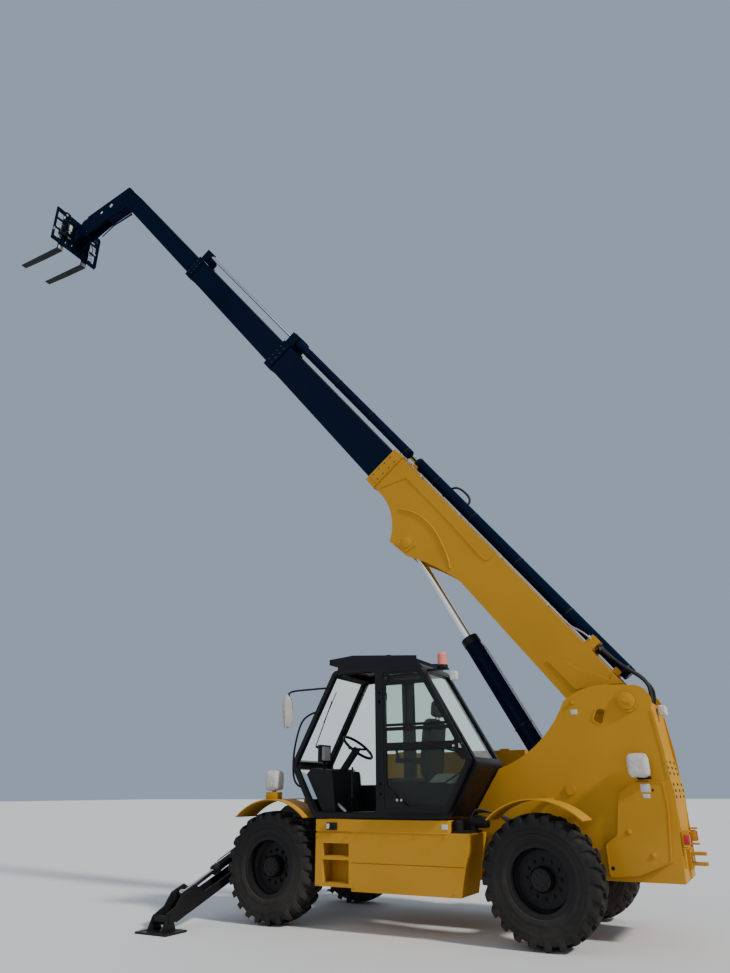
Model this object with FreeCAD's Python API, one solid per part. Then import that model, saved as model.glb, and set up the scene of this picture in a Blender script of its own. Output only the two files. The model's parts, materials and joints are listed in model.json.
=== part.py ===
import FreeCAD, Part
import math
import os

# Four-section telehandler on four steered wheels, parked with its stabilisers down and its boom out.
# Millimetres. While it is made: +X forward, +Y left, +Z up, zero on the ground below the rear axle.
# At the end every piece moves along X so that the origin is the centre of the base of its box.

V = FreeCAD.Vector

# Wheels, axles and steering
WHEELBASE = 2900.0
TYRE_R = 537.5
TYRE_W = 350.0
TYRE_OUTER_Y = 1070.0
TREAD_DEPTH = 32.0
TREAD_LUGS = 14
LUG_HALF = 40.0
LUG_SWEEP_DEG = 7.0
RIM_R = 272.0
RIM_DISC_Y = 905.0
RIM_WALL = 14.0
HUB_R = 112.0
KINGPIN_Y = 700.0
KINGPIN_R = 50.0
SPINDLE_R = 45.0
SPINDLE_END_Y = 945.0
BEAM_HALF = 72.0
YOKE_GAP_HALF = 100.0
YOKE_PLATE = 30.0
STEER_DEG = 25.0
SHAFT_GAP = 0.05
SEAT_GAP = 0.3

# Chassis rails and what hangs on them
RAIL_IN_Y = 250.0
RAIL_OUT_Y = 330.0
RAIL_Z0 = 640.0
RAIL_Z1 = 840.0
RAIL_X0 = -540.0
RAIL_X1 = WHEELBASE + 602.0
AXLE_SEAT_Z = 700.0
BELLY_Z0 = 430.0
BELLY_HALF_Y = 200.0
CROSS_LENGTH = 80.0

# Boom tower plates
TOWER_IN_Y = 395.0
TOWER_T = 25.0
TOWER_WALL = 20.0
COVER_T = 30.0

# Boom, measured along it from its pivot and square to it
BOOM_PIVOT_X = -850.0
BOOM_PIVOT_Z = 2060.0
BOOM_SHAFT_R = 60.0
BOOM_ANGLE = 52.3
BOOM_LOW_ANGLE = -3.0
BOOM_HIGH_ANGLE = 65.0
BOOM_MID_N = -180.0
BOOM_WALL = 11.0
# section: height, width, length from the pivot at full reach
SECTIONS = {
    "base": (540.0, 400.0, 4300.0),
    "second": (470.0, 340.0, 7450.0),
    "third": (405.0, 285.0, 10830.0),
    "fourth": (345.0, 230.0, 14700.0),
}
BOOM_OVERLAP = 950.0
TELESCOPE_TRAVEL = 2850.0
COLLAR_LENGTH = 190.0
COLLAR_T = 18.0
PAD_GAP = 0.5
PAD_LENGTH = 120.0

# Lift cylinder
LIFT_PIN_U = 3150.0
LIFT_PIN_N = -630.0
LIFT_FOOT_X = -210.0
LIFT_FOOT_Z = 937.0
LIFT_BARREL_R = 98.0
LIFT_ROD_R = 42.0
LIFT_BARREL_LENGTH = 2260.0
LIFT_ROD_START = 1420.0
LIFT_PIN_R = 40.0
LIFT_EYE_R = 56.0
LIFT_EYE_HALF_W = 45.0

# Telescope cylinder on top of the boom
TELE_N = 100.0
TELE_BARREL_R = 76.0
UPPER_BARREL_R = 66.0
TELE_ROD_R = 40.0
TELE_U0 = 250.0
TELE_U1 = 4060.0
TELE_Y = -75.0
TELE_2_Y = 75.0
TELE_2_ROD_R = 34.0

# Hoses over the pivot: y, height above the boom's line, bend radius
HOSE_X = -1022.0
HOSES = [(-175.0, 175.0, 260.0), (45.0, 170.0, 280.0), (90.0, 190.0, 320.0), (135.0, 170.0, 280.0)]
HOSE_R = 14.0
HOSE_END_U = 640.0

# Boom head and carriage
TILT_PIVOT_U = 15000.0
TILT_PIVOT_N = -1480.0
TILT_PIN_R = 35.0
TILT_LUG_R = 280.0
TILT_LUG_DIRECTION = 25.0
TILT_BASE_U = 14520.0
TILT_BASE_N = -420.0
TILT_BARREL_R = 50.0
TILT_ROD_R = 28.0
TILT_BASE_PIN_R = 28.0
TILT_EYE_HALF_W = 32.0
HEAD_CHEEK = 16.0
CARRIAGE_W = 1220.0
CARRIAGE_H = 900.0
CARRIAGE_X = 9900.0
CARRIAGE_Z = 12650.0
CARRIAGE_T = 35.0
FORK_LENGTH = 1200.0
FORK_SPACING = 650.0
FORK_W = 120.0
FORK_T = 45.0
FORK_DROP = 130.0

# Stabilisers
LEG_X = WHEELBASE + 710.0
HINGE_PIN_R = 30.0
JACK_PIN_R = 20.0
LEG_HALF_W = 80.0
LEG_HINGE_Y = 300.0
LEG_HINGE_Z = 620.0
FOOT_Y = 1800.0
FOOT_PIVOT_Z = 110.0
LEG_HALF_H = 70.0
LEG_PLATE = 14.0
PAD_LONG = 400.0
PAD_WIDE = 300.0
PAD_T = 20.0
JACK_TOP_Y = 220.0
JACK_TOP_Z = 800.0
JACK_EYE_S = 1250.0
JACK_EYE_N = 100.0
JACK_BARREL_R = 45.0
JACK_ROD_R = 26.0
JACK_BARREL_LENGTH = 900.0
JACK_EYE_HALF_W = 38.0
FOOT_PIN_R = 24.0

# Cab: its lower front corner, then its outline seen from the side, from that corner round by the roof
CAB_X = WHEELBASE - 520.0
CAB_IN_Y = 240.0
CAB_OUT_Y = 1000.0
CAB_POST = 48.0
CAB_FLOOR_Z = 1010.0
CAB_OUTLINE = [(CAB_X, CAB_FLOOR_Z), (CAB_X + 300, 1530.0), (CAB_X - 230, 2510.0), (CAB_X - 1290, 2520.0),
               (CAB_X - 1875, 1485.0), (CAB_X - 1546, CAB_FLOOR_Z)]
CAB_CORNER_R = 90.0
CAB_GAP = 15.0
FLOOR_X0 = CAB_X - 1460.0
FLOOR_X1 = CAB_X - 70.0
SILL_Z = 1330.0
DOOR_HINGE_X = CAB_X - 800.0
DOOR_HINGE_Y = 1018.0
DOOR_PIN_R = 7.0
DOOR_HINGES = [1250.0, 2150.0]
DOOR_HINGE_LENGTH = 70.0
DOOR_T = 34.0
DOOR_GAP = 7.0
DOOR_BARS = [(1690.0, 1720.0), (1880.0, 1905.0)]
DOOR_CORNER_X = CAB_X - 230.0
DOOR_CORNER_Z = 1490.0
GLASS_T = 6.0
ROOF_T = 42.0
RACK_T = 12.0
RACK_BARS = 5
RACK_PITCH = 150.0
SEAT_X = CAB_X - 1230.0
SEAT_Y = 620.0
DESK_X = CAB_X - 230.0

# Bodywork
TANK_X0 = 760.0
TANK_X1 = WHEELBASE - 1000.0
TANK_IN_Y = 560.0
BODY_OUT_Y = 1030.0
TANK_Z0 = 360.0
TANK_Z1 = 1000.0
SHELF_Z = 890.0
SEAM_Z = 610.0
STEP_X1 = WHEELBASE - 645.0
STEP_NOSE = 68.0
HOOD_X0 = 470.0
HOOD_FOOT_X0 = 700.0
HOOD_X1 = WHEELBASE - 640.0
HOOD_IN_Y = 440.0
HOOD_Z0 = 400.0
HOOD_STEP_Z = 1230.0
HOOD_Z1 = 1240.0
HOOD_TOP_Z = 1690.0
HOOD_CORNER_R = 110.0
LID_FLANGE = 30.0
LID_HINGE_UP = 10.0
LID_HINGE_R = 10.0
LID_PIN_R = 5.0
LID_HINGE_LENGTH = 80.0
SHEET = 5.0
FENDER_R = 645.0
FENDER_T = 10.0
FENDER_HALF_ANGLE = 43.0
FENDER_IN_Y = 715.0
FENDER_OUT_Y = 1078.0


# Plain shapes

def box(x0, x1, y0, y1, z0, z1):
    return Part.makeBox(x1 - x0, y1 - y0, z1 - z0, V(x0, y0, z0))


def rod(start, end, radius):
    line = V(*end) - V(*start)
    return Part.makeCylinder(radius, line.Length, V(*start), line)


def across(x, z, radius, y0, y1):
    return Part.makeCylinder(radius, y1 - y0, V(x, y0, z), V(0, 1, 0))


def outline_face(points, place):
    """A face from (a, b) points; a point of four numbers is an arc through its first pair."""
    edges = []
    last = points[0]
    for point in points[1:] + [points[0]]:
        end = point[-2:]
        if len(point) == 4:
            edges.append(Part.Arc(place(*last), place(*point[:2]), place(*end)).toShape())
        elif (place(*end) - place(*last)).Length > 1e-6:
            edges.append(Part.makeLine(place(*last), place(*end)))
        last = end
    return Part.Face(Part.Wire(edges))


def plate_xz(points, y0, y1):
    face = outline_face(points, lambda a, b: V(a, y0, b))
    return face.extrude(V(0, y1 - y0, 0))


def plate_yz(points, x0, x1):
    face = outline_face(points, lambda a, b: V(x0, a, b))
    return face.extrude(V(x1 - x0, 0, 0))


def ring(points):
    """A solid of revolution about the Y axis from (radius, y) points."""
    face = outline_face(points, lambda a, b: V(a, b, 0))
    return face.revolve(V(0, 0, 0), V(0, 1, 0), 360)


def join(shapes):
    whole = shapes[0].fuse(shapes[1:]) if len(shapes) > 1 else shapes[0]
    return whole.removeSplitter()


def mirror_y(shape):
    return shape.mirror(V(0, 0, 0), V(0, 1, 0))


def inset(points, gap):
    """The same outline moved inwards by gap, for a convex outline listed either way round."""
    count = len(points)
    area = sum(points[i][0] * points[(i + 1) % count][1] - points[(i + 1) % count][0] * points[i][1]
               for i in range(count))
    side = 1.0 if area > 0 else -1.0
    lines = []
    for i in range(count):
        (ax, az), (bx, bz) = points[i], points[(i + 1) % count]
        length = math.hypot(bx - ax, bz - az)
        nx, nz = -side * (bz - az) / length, side * (bx - ax) / length
        lines.append((nx, nz, nx * ax + nz * az + gap))
    result = []
    for i in range(count):
        (a1, b1, c1), (a2, b2, c2) = lines[i - 1], lines[i]
        det = a1 * b2 - a2 * b1
        result.append(((c1 * b2 - c2 * b1) / det, (a1 * c2 - a2 * c1) / det))
    return result


def rounded(points, radius):
    """The outline with each corner turned into an arc of the given radius."""
    result = []
    count = len(points)
    for i in range(count):
        before, corner, after = points[i - 1], points[i], points[(i + 1) % count]
        u = V(before[0] - corner[0], before[1] - corner[1], 0).normalize()
        w = V(after[0] - corner[0], after[1] - corner[1], 0).normalize()
        half = u.getAngle(w) / 2
        reach = radius / math.tan(half)
        centre = V(corner[0], corner[1], 0) + (u + w).normalize() * (radius / math.sin(half))
        middle = centre - (u + w).normalize() * radius
        result.append((corner[0] + u.x * reach, corner[1] + u.y * reach))
        result.append((middle.x, middle.y, corner[0] + w.x * reach, corner[1] + w.y * reach))
    return result


# Boom frame: u runs along the boom, n square to it

def boom_place(shape, angle=BOOM_ANGLE):
    placed = shape.copy()
    placed.Placement = FreeCAD.Placement(V(BOOM_PIVOT_X, 0, BOOM_PIVOT_Z),
                                         FreeCAD.Rotation(V(0, -1, 0), angle))
    return placed


def boom_point(u, n, angle=BOOM_ANGLE):
    c, s = math.cos(math.radians(angle)), math.sin(math.radians(angle))
    return (BOOM_PIVOT_X + u * c - n * s, BOOM_PIVOT_Z + u * s + n * c)


def tube(u0, u1, height, width, wall):
    outer = box(u0, u1, -width / 2, width / 2, BOOM_MID_N - height / 2, BOOM_MID_N + height / 2)
    inner = box(u0 - 1, u1 + 1, -width / 2 + wall, width / 2 - wall,
                BOOM_MID_N - height / 2 + wall, BOOM_MID_N + height / 2 - wall)
    return outer.cut(inner)


def pads(u0, u1, inner, outer):
    """Four slide blocks in the gap between one section and the next, on its top, foot and sides."""
    ih, iw = inner
    oh, ow = outer
    top = BOOM_MID_N + ih / 2
    foot = BOOM_MID_N - ih / 2
    lift = (oh - ih) / 2
    side = (ow - iw) / 2
    half = iw * 0.3
    rise = ih * 0.3
    return [
        box(u0, u1, -half, half, top, top + lift),
        box(u0, u1, -half, half, foot - lift, foot),
        box(u0, u1, iw / 2, iw / 2 + side, BOOM_MID_N - rise, BOOM_MID_N + rise),
        box(u0, u1, -iw / 2 - side, -iw / 2, BOOM_MID_N - rise, BOOM_MID_N + rise),
    ]


def section_tail(previous):
    return SECTIONS[previous][2] - BOOM_OVERLAP


def slides(name, previous):
    """Blocks on the tail of a section that bear on the inside of the section around it."""
    height, width, _ = SECTIONS[name]
    big_h, big_w, _ = SECTIONS[previous]
    tail = section_tail(previous)
    room = (big_h - 2 * BOOM_WALL - 2 * PAD_GAP, big_w - 2 * BOOM_WALL - 2 * PAD_GAP)
    return pads(tail, tail + PAD_LENGTH, (height, width), room)


def head_blocks(name, following):
    """Blocks inside the head of a section that bear on the outside of the section within."""
    height, width, end = SECTIONS[name]
    small_h, small_w, _ = SECTIONS[following]
    room = (small_h + 2 * PAD_GAP, small_w + 2 * PAD_GAP)
    return pads(end - PAD_LENGTH, end, room, (height - 2 * BOOM_WALL, width - 2 * BOOM_WALL))


def collar(name):
    height, width, end = SECTIONS[name]
    return tube(end - COLLAR_LENGTH, end, height + 2 * COLLAR_T, width + 2 * COLLAR_T, COLLAR_T)


def lift_pin():
    return boom_point(LIFT_PIN_U, LIFT_PIN_N)


def lift_foot():
    return (LIFT_FOOT_X, LIFT_FOOT_Z)


def lift_length():
    x, z = lift_pin()
    return math.hypot(x - LIFT_FOOT_X, z - LIFT_FOOT_Z)


def lift_direction():
    return direction_of(lift_foot(), lift_pin())


# Chassis

def cab_feet_x():
    """Where the tank lies under the cab's floor: the places of the cab's rear and front feet."""
    return (max(TANK_X0, FLOOR_X0) + 130, TANK_X1 - 120)


def chassis_frame():
    rails = [box(RAIL_X0, RAIL_X1, s * RAIL_IN_Y, s * RAIL_OUT_Y, RAIL_Z0, RAIL_Z1) if s > 0 else
             box(RAIL_X0, RAIL_X1, -RAIL_OUT_Y, -RAIL_IN_Y, RAIL_Z0, RAIL_Z1) for s in (1, -1)]
    # cross members: first x, last x, half width, bottom z
    rear_cross = TANK_X0 - 160
    front_cross = STEP_X1 - 235
    crosses = [(RAIL_X0, RAIL_X0 + 60, TOWER_IN_Y, RAIL_Z0),
               (rear_cross, rear_cross + CROSS_LENGTH, TOWER_IN_Y, RAIL_Z0),
               (-60, 60, RAIL_IN_Y, AXLE_SEAT_Z), (WHEELBASE - 60, WHEELBASE + 60, RAIL_IN_Y, AXLE_SEAT_Z),
               (front_cross, front_cross + CROSS_LENGTH, RAIL_IN_Y, RAIL_Z0),
               (RAIL_X1 - 62, RAIL_X1, RAIL_IN_Y, RAIL_Z0)]
    parts = rails + [box(a, b, -half, half, z, RAIL_Z1) for a, b, half, z in crosses]
    parts.append(box(rear_cross + 40, front_cross + 40, -BELLY_HALF_Y, BELLY_HALF_Y, BELLY_Z0, RAIL_Z1 - 20))
    for x in cab_feet_x():
        parts.append(box(x - 40, x + 40, RAIL_OUT_Y, TANK_IN_Y, RAIL_Z1 - 90, RAIL_Z1))
        parts.append(box(x - 40, x + 40, RAIL_IN_Y, RAIL_OUT_Y, RAIL_Z1, CAB_FLOOR_Z))
    front = RAIL_X1
    end = 2 * LEG_X - RAIL_X1
    for x in (front, end - LEG_PLATE):
        parts.append(plate_yz([(-400, 560), (-250, 470), (250, 470), (400, 560), (400, 700), (300, 900),
                               (-300, 900), (-400, 700)], x, x + LEG_PLATE))
    parts.append(box(front, end, -140, 140, 490, 880))
    for side in (1, -1):
        parts.append(rod((front, side * LEG_HINGE_Y, LEG_HINGE_Z),
                         (end, side * LEG_HINGE_Y, LEG_HINGE_Z), HINGE_PIN_R))
        parts.append(rod((front, side * JACK_TOP_Y, JACK_TOP_Z),
                         (end, side * JACK_TOP_Y, JACK_TOP_Z), JACK_PIN_R))
    return join(parts)


TOWER_OUTLINE = [(-1120, 500), (-1150, 1250), (-1090, 1600), (-1062, 1980), (-1040, 2150, -940, 2208),
                 (-720, 2225), (-440, 2200, -230, 2090), (150, 1640, 690, 1430), (TANK_X0, 1380), (TANK_X0, 860),
                 (680, 640), (-350, 640), (-430, 500)]
TOWER_BOSS = (-211.0, 1268.0)
COVER_OUTLINE = [(-800, 1331), (-1070, 1328), (-1082, 1113), (-1037, 668), (-746, 552), (-487, 531), (-483, 799),
                 (-599, 880), (-656, 1225)]


def boom_tower():
    hole = plate_xz(rounded([(-640, 2000), (-560, 2000), (-505, 1900), (-590, 1850)], 25), -500, 500)
    parts = []
    for y0 in (TOWER_IN_Y, -TOWER_IN_Y - TOWER_T):
        plate = plate_xz(TOWER_OUTLINE, y0, y0 + TOWER_T).cut(hole)
        parts.append(plate.cut(cab_room()) if y0 > 0 else plate)
    rear = TOWER_OUTLINE[:4]
    back = rear + [(x + TOWER_WALL, z) for x, z in reversed(rear)]
    parts.append(plate_xz(back, -TOWER_IN_Y, TOWER_IN_Y))
    parts.append(across(*lift_foot(), LIFT_PIN_R, -TOWER_IN_Y, TOWER_IN_Y))
    out = TOWER_IN_Y + TOWER_T
    parts.append(across(BOOM_PIVOT_X, BOOM_PIVOT_Z, BOOM_SHAFT_R, -out - 30, out + 30))
    # bosses: place, radius, thickness
    for place, radius, thick in (((BOOM_PIVOT_X, BOOM_PIVOT_Z), 105, 18), (lift_foot(), 70, 12), (TOWER_BOSS, 48, 14)):
        for y0 in (out, -out - thick):
            parts.append(across(*place, radius, y0, y0 + thick))
    for y0 in (out, -out - COVER_T):
        parts.append(plate_xz(rounded(COVER_OUTLINE, 26), y0, y0 + COVER_T))
    return join(parts)


def cab_room():
    """The cab's rear outline and a gap round it, which the tower's left plate leaves free."""
    a, b, c, d, e, f = inset(CAB_OUTLINE, -CAB_GAP)
    return plate_xz([(e[0] + 9000, f[1]), f, e, (e[0] + 9000, e[1] + 9000)], 0, CAB_OUT_Y)


def counterweight():
    rear = [(rear_x(z) + TOWER_WALL + SEAT_GAP, z) for z in (520, 1220)]
    return plate_xz(rear + [(-560, 1220), (-560, 520)], -TOWER_IN_Y + 5, TOWER_IN_Y - 5)


def rear_x(z):
    """The tower's rear face at height z, below its first bend."""
    (x0, z0), (x1, z1) = TOWER_OUTLINE[:2]
    return x0 + (x1 - x0) * (z - z0) / (z1 - z0)


def axle(x):
    z = TYRE_R
    yoke = KINGPIN_Y + KINGPIN_R
    parts = [box(x - BEAM_HALF, x + BEAM_HALF, -600, 600, z - BEAM_HALF, z + BEAM_HALF),
             ring([(0, -230), (80, -230), (145, -90), (145, 90), (80, 230), (0, 230)]).translate(V(x, 0, z)),
             box(x - 100, x + 100, -140, 140, z, AXLE_SEAT_Z)]
    for y0, y1 in ((590, yoke), (-yoke, -590)):
        for z0 in (z + YOKE_GAP_HALF, z - YOKE_GAP_HALF - YOKE_PLATE):
            parts.append(box(x - 60, x + 60, y0, y1, z0, z0 + YOKE_PLATE))
    for y0 in (590, -630):
        parts.append(box(x - 60, x + 60, y0, y0 + 40, z - YOKE_GAP_HALF - YOKE_PLATE,
                         z + YOKE_GAP_HALF + YOKE_PLATE))
    return join(parts)


def knuckle(x):
    """The left knuckle: kingpin block, spindle and brake flange."""
    z = TYRE_R
    half = YOKE_GAP_HALF - SEAT_GAP
    pin = Part.makeCylinder(KINGPIN_R, 2 * half, V(x, KINGPIN_Y, z - half))
    spindle = across(x, z, SPINDLE_R, KINGPIN_Y, SPINDLE_END_Y)
    flange = across(x, z, 95, 795, 820)
    return join([pin, spindle, flange])


def rim(x):
    inner = RIM_R - RIM_WALL
    seat = RIM_R - SEAT_GAP
    bore = SPINDLE_R + SHAFT_GAP
    left = TYRE_OUTER_Y - TYRE_W + 30
    right = TYRE_OUTER_Y - 30
    y = RIM_DISC_Y
    profile = [(seat, left - SEAT_GAP), (RIM_R + 24, left - SEAT_GAP), (RIM_R + 24, left - 10),
               (inner, left - 10), (inner, y - 25), (inner - 25, y - 14), (HUB_R, y - 14), (HUB_R, y - 70),
               (bore, y - 70), (bore, SPINDLE_END_Y + 5), (0, SPINDLE_END_Y + 5), (0, y + 95),
               (HUB_R - 24, y + 95), (HUB_R - 7, y + 70), (HUB_R - 7, y), (inner - 25, y), (inner, y + 25),
               (inner, right + 10), (RIM_R + 24, right + 10), (RIM_R + 24, right + SEAT_GAP),
               (seat, right + SEAT_GAP)]
    return ring(profile).translate(V(x, 0, TYRE_R))


def faceted_ring(profile, count):
    """A ring of flat faces about the Y axis from (radius, y) points."""
    def at(point, step):
        angle = 2 * math.pi * step / count
        return V(point[0] * math.cos(angle), point[1], point[0] * math.sin(angle))
    faces = []
    for step in range(count):
        for a, b in zip(profile, profile[1:] + profile[:1]):
            corners = [at(a, step), at(b, step), at(b, step + 1), at(a, step + 1)]
            faces.append(Part.Face(Part.makePolygon(corners + corners[:1])))
    shell = Part.Shell(faces)
    shell.sewShape()
    solid = Part.Solid(shell)
    return solid if solid.Volume > 0 else solid.reversed()


def lug(side, angle):
    """One tread bar from the middle of the tread out to the shoulder, swept back as it goes."""
    middle = TYRE_OUTER_Y - TYRE_W / 2
    low = TYRE_R - TREAD_DEPTH - 20
    outer = middle + side * (TYRE_W / 2 - 18)
    inner = middle + side * 6
    rows = []
    for y, turn, top in ((inner, 0, TYRE_R), (outer, -LUG_SWEEP_DEG, TYRE_R - 8)):
        row = []
        for radius, half in ((low, LUG_HALF + 5), (top, LUG_HALF)):
            for edge in (-1, 1):
                a = math.radians(angle + turn) + edge * half / TYRE_R
                row.append(V(radius * math.cos(a), y, radius * math.sin(a)))
        rows.append(row)
    return prism_between(*rows)


def prism_between(near, far):
    """A solid between two four-cornered ends listed as low left, low right, high left, high right."""
    faces = []
    order = (0, 1, 3, 2)
    for ends in (near, far):
        for a, b, c in ((0, 1, 3), (0, 3, 2)):
            faces.append(Part.Face(Part.makePolygon([ends[a], ends[b], ends[c], ends[a]])))
    for i, j in zip(order, order[1:] + order[:1]):
        for corners in ((near[i], near[j], far[j]), (near[i], far[j], far[i])):
            faces.append(Part.Face(Part.makePolygon(list(corners) + [corners[0]])))
    shell = Part.Shell(faces)
    shell.sewShape()
    solid = Part.Solid(shell)
    return solid if solid.Volume > 0 else solid.reversed()


def tyre():
    """The left tyre about its own axle, flat-faced, its tread bars fused on."""
    left = TYRE_OUTER_Y - TYRE_W
    right = TYRE_OUTER_Y
    tread = TYRE_R - TREAD_DEPTH
    count = 2 * TREAD_LUGS
    # the middles of the flats, not their corners, touch the rim
    bead = RIM_R / math.cos(math.pi / count)
    profile = [(bead, left + 30), (bead + 28, left + 30), (445, left), (tread, left + 62),
               (tread, right - 62), (445, right), (bead + 28, right - 30), (bead, right - 30)]
    parts = [faceted_ring(profile, count)]
    pitch = 360 / TREAD_LUGS
    # a bar's corner, not its flat, points straight down
    start = 270 + math.degrees(LUG_HALF / TYRE_R)
    for i in range(TREAD_LUGS):
        parts.append(lug(1, start + i * pitch))
        parts.append(lug(-1, start + (i + 0.5) * pitch))
    return parts[0].fuse(parts[1:])


def side_tank():
    """The long tank with its leaning rear end, its low rear shelf and the seam along its side."""
    x, shelf_end = TANK_X0, TANK_X0 + 85
    side = [(x - 14, TANK_Z0), (TANK_X1, TANK_Z0), (TANK_X1, TANK_Z1), (shelf_end, TANK_Z1), (shelf_end, SHELF_Z),
            (x - 132, SHELF_Z)]
    body = plate_xz(side, TANK_IN_Y, BODY_OUT_Y)
    return body.cut(box(x - 200, TANK_X1 + 1, BODY_OUT_Y - 8, BODY_OUT_Y + 1, SEAM_Z - 4, SEAM_Z + 4))


def step_box():
    """The steps ahead of the tank; their front end slants clear of the steered tyre."""
    x0, x1, out = TANK_X1, STEP_X1, BODY_OUT_Y
    plan = [(x0, TANK_IN_Y + 40), (x1, TANK_IN_Y + 40), (x1, out - 220), (x1 + STEP_NOSE - 25, out - 70),
            (x1 + STEP_NOSE, out), (x0, out)]
    body = outline_face(plan, lambda a, b: V(a, b, TANK_Z0 + 30)).extrude(V(0, 0, TANK_Z1 - TANK_Z0 - 30))
    body = body.cut(box(x0 - 1, x1 + STEP_NOSE + 1, out - 12, out + 1, 872, SHELF_Z))
    for z0, z1 in ((420, 630), (660, 780)):
        body = body.cut(box(x0 + 30, x1 - 20, out - 190, out + 1, z0, z1))
    return body


def hood_side(gap=0.0):
    """The pod's outline seen from the rear, its outer top corner rounded, drawn in by gap."""
    out, inside, top = -BODY_OUT_Y + gap, -HOOD_IN_Y - gap, HOOD_TOP_Z - gap
    radius = HOOD_CORNER_R - gap
    turn = radius * (1 - math.sqrt(0.5))
    return [(out, HOOD_Z0), (inside, HOOD_Z0), (inside, top), (out + radius, top),
            (out + turn, top - turn, out, top - radius)]


def hood_profile(gap=0.0):
    """The pod's outline seen from the right: its upper part reaches back over the rear wheel."""
    low, high = HOOD_Z0 - 1, HOOD_TOP_Z + 1
    return [(HOOD_FOOT_X0 + gap, low), (HOOD_X1 - gap, low), (HOOD_X1 - gap, high), (HOOD_X0 + gap, high),
            (HOOD_X0 + gap, HOOD_STEP_Z + gap), (HOOD_FOOT_X0 + gap, HOOD_STEP_Z + gap)]


def hood_solid(gap=0.0):
    solid = plate_yz(hood_side(gap), HOOD_X0 - 1, HOOD_X1 + 1)
    return solid.common(plate_xz(hood_profile(gap), -BODY_OUT_Y - 1, 0))


def lid_axis():
    """The lid's hinge line: y and z."""
    return -HOOD_IN_Y - LID_FLANGE - 3, HOOD_TOP_Z + LID_HINGE_UP


def lid_hinges():
    return (HOOD_X0 + 200, HOOD_X1 - 200 - LID_HINGE_LENGTH)


def engine_hood():
    """The fixed pod on the right side, open at its foot, its ends closed up to the lid."""
    opening = plate_yz(hood_side(SHEET + SEAT_GAP), HOOD_X0 - 1, HOOD_X1 + 1)
    above_sill = box(HOOD_X0 - 1, HOOD_X1 + 1, -BODY_OUT_Y - 1, -HOOD_IN_Y - LID_FLANGE, HOOD_Z1, HOOD_TOP_Z + 1)
    shell = hood_solid().cut(hood_solid(SHEET)).cut(above_sill.cut(opening))
    for i in range(8):
        x = HOOD_FOOT_X0 + 240 + i * 60
        shell = shell.cut(box(x, x + 30, -BODY_OUT_Y - 1, -BODY_OUT_Y + SHEET + 1, 620, 1050))
    y, z = lid_axis()
    parts = [shell]
    for x in (HOOD_FOOT_X0 + 300, HOOD_X1 - 500):
        parts.append(box(x, x + 80, -HOOD_IN_Y - SHEET, -RAIL_OUT_Y, RAIL_Z0 + 20, RAIL_Z1 - 20))
        parts.append(box(x, x + 80, -BODY_OUT_Y + SHEET, -HOOD_IN_Y - SHEET, HOOD_Z0, HOOD_Z0 + 60))
    for x in lid_hinges():
        for x0 in (x - 14, x + LID_HINGE_LENGTH + 2):
            parts.append(along_x(y, z, LID_HINGE_R - 1, x0, x0 + 12))
            parts.append(box(x0, x0 + 12, y, -HOOD_IN_Y, HOOD_TOP_Z - 1, z + 4))
        parts.append(along_x(y, z, LID_PIN_R, x - 14, x + LID_HINGE_LENGTH + 14))
    return join(parts)


def engine_block():
    return box(HOOD_FOOT_X0 + 260, HOOD_X1 - 280, -900, -HOOD_IN_Y - 40, HOOD_Z0 + 60, HOOD_STEP_Z)


def engine_lid():
    """The pod's top and upper outer wall, hinged along the pod's inner top edge."""
    edge = -HOOD_IN_Y - LID_FLANGE - 6
    space = box(HOOD_X0 - 1, HOOD_X1 + 1, -BODY_OUT_Y - 1, edge, HOOD_Z1 + SEAT_GAP, HOOD_TOP_Z + 1)
    side = plate_yz(hood_side(SHEET), HOOD_X0 - 1, HOOD_X1 + 1)
    parts = [plate_yz(hood_side(), HOOD_X0, HOOD_X1).cut(side).common(space)]
    y, z = lid_axis()
    for x in lid_hinges():
        parts.append(along_x(y, z, LID_HINGE_R, x, x + LID_HINGE_LENGTH))
        parts.append(box(x, x + LID_HINGE_LENGTH, y - 60, y - 3, HOOD_TOP_Z - 1, HOOD_TOP_Z + 6))
        parts.append(box(x, x + LID_HINGE_LENGTH, y - 18, y - 5, HOOD_TOP_Z, z))
    whole = join(parts)
    for x in lid_hinges():
        whole = whole.cut(along_x(y, z, LID_PIN_R + SHAFT_GAP, x - 1, x + LID_HINGE_LENGTH + 1))
    return whole


def arc_band(x, z, radius, thickness, start, end, y0, y1):
    """A curved plate about (x, z) between two angles in degrees."""
    def at(r, angle):
        return (x + r * math.cos(math.radians(angle)), z + r * math.sin(math.radians(angle)))
    middle = (start + end) / 2
    outer = radius + thickness
    points = [at(radius, start), at(radius, middle) + at(radius, end), at(outer, end),
              at(outer, middle) + at(outer, start)]
    return plate_xz(points, y0, y1)


def fenders():
    result = []
    top = TYRE_R + FENDER_R
    for x in (0.0, WHEELBASE):
        band = arc_band(x, TYRE_R, FENDER_R, FENDER_T, 90 - FENDER_HALF_ANGLE, 90 + FENDER_HALF_ANGLE,
                        FENDER_IN_Y, FENDER_OUT_Y)
        if x == 0.0:
            strut = [box(x - 40, x + 40, TOWER_IN_Y + TOWER_T, FENDER_IN_Y + 5, top, top + FENDER_T)]
        else:
            strut = [box(x - 40, x + 40, RAIL_IN_Y + 10, FENDER_IN_Y + 5, top, top + FENDER_T),
                     box(x - 40, x + 40, RAIL_IN_Y + 10, RAIL_OUT_Y, RAIL_Z1, top)]
        left = join([band] + strut)
        result += [left, mirror_y(left)]
    return Part.makeCompound(result)


# Cab

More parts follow.
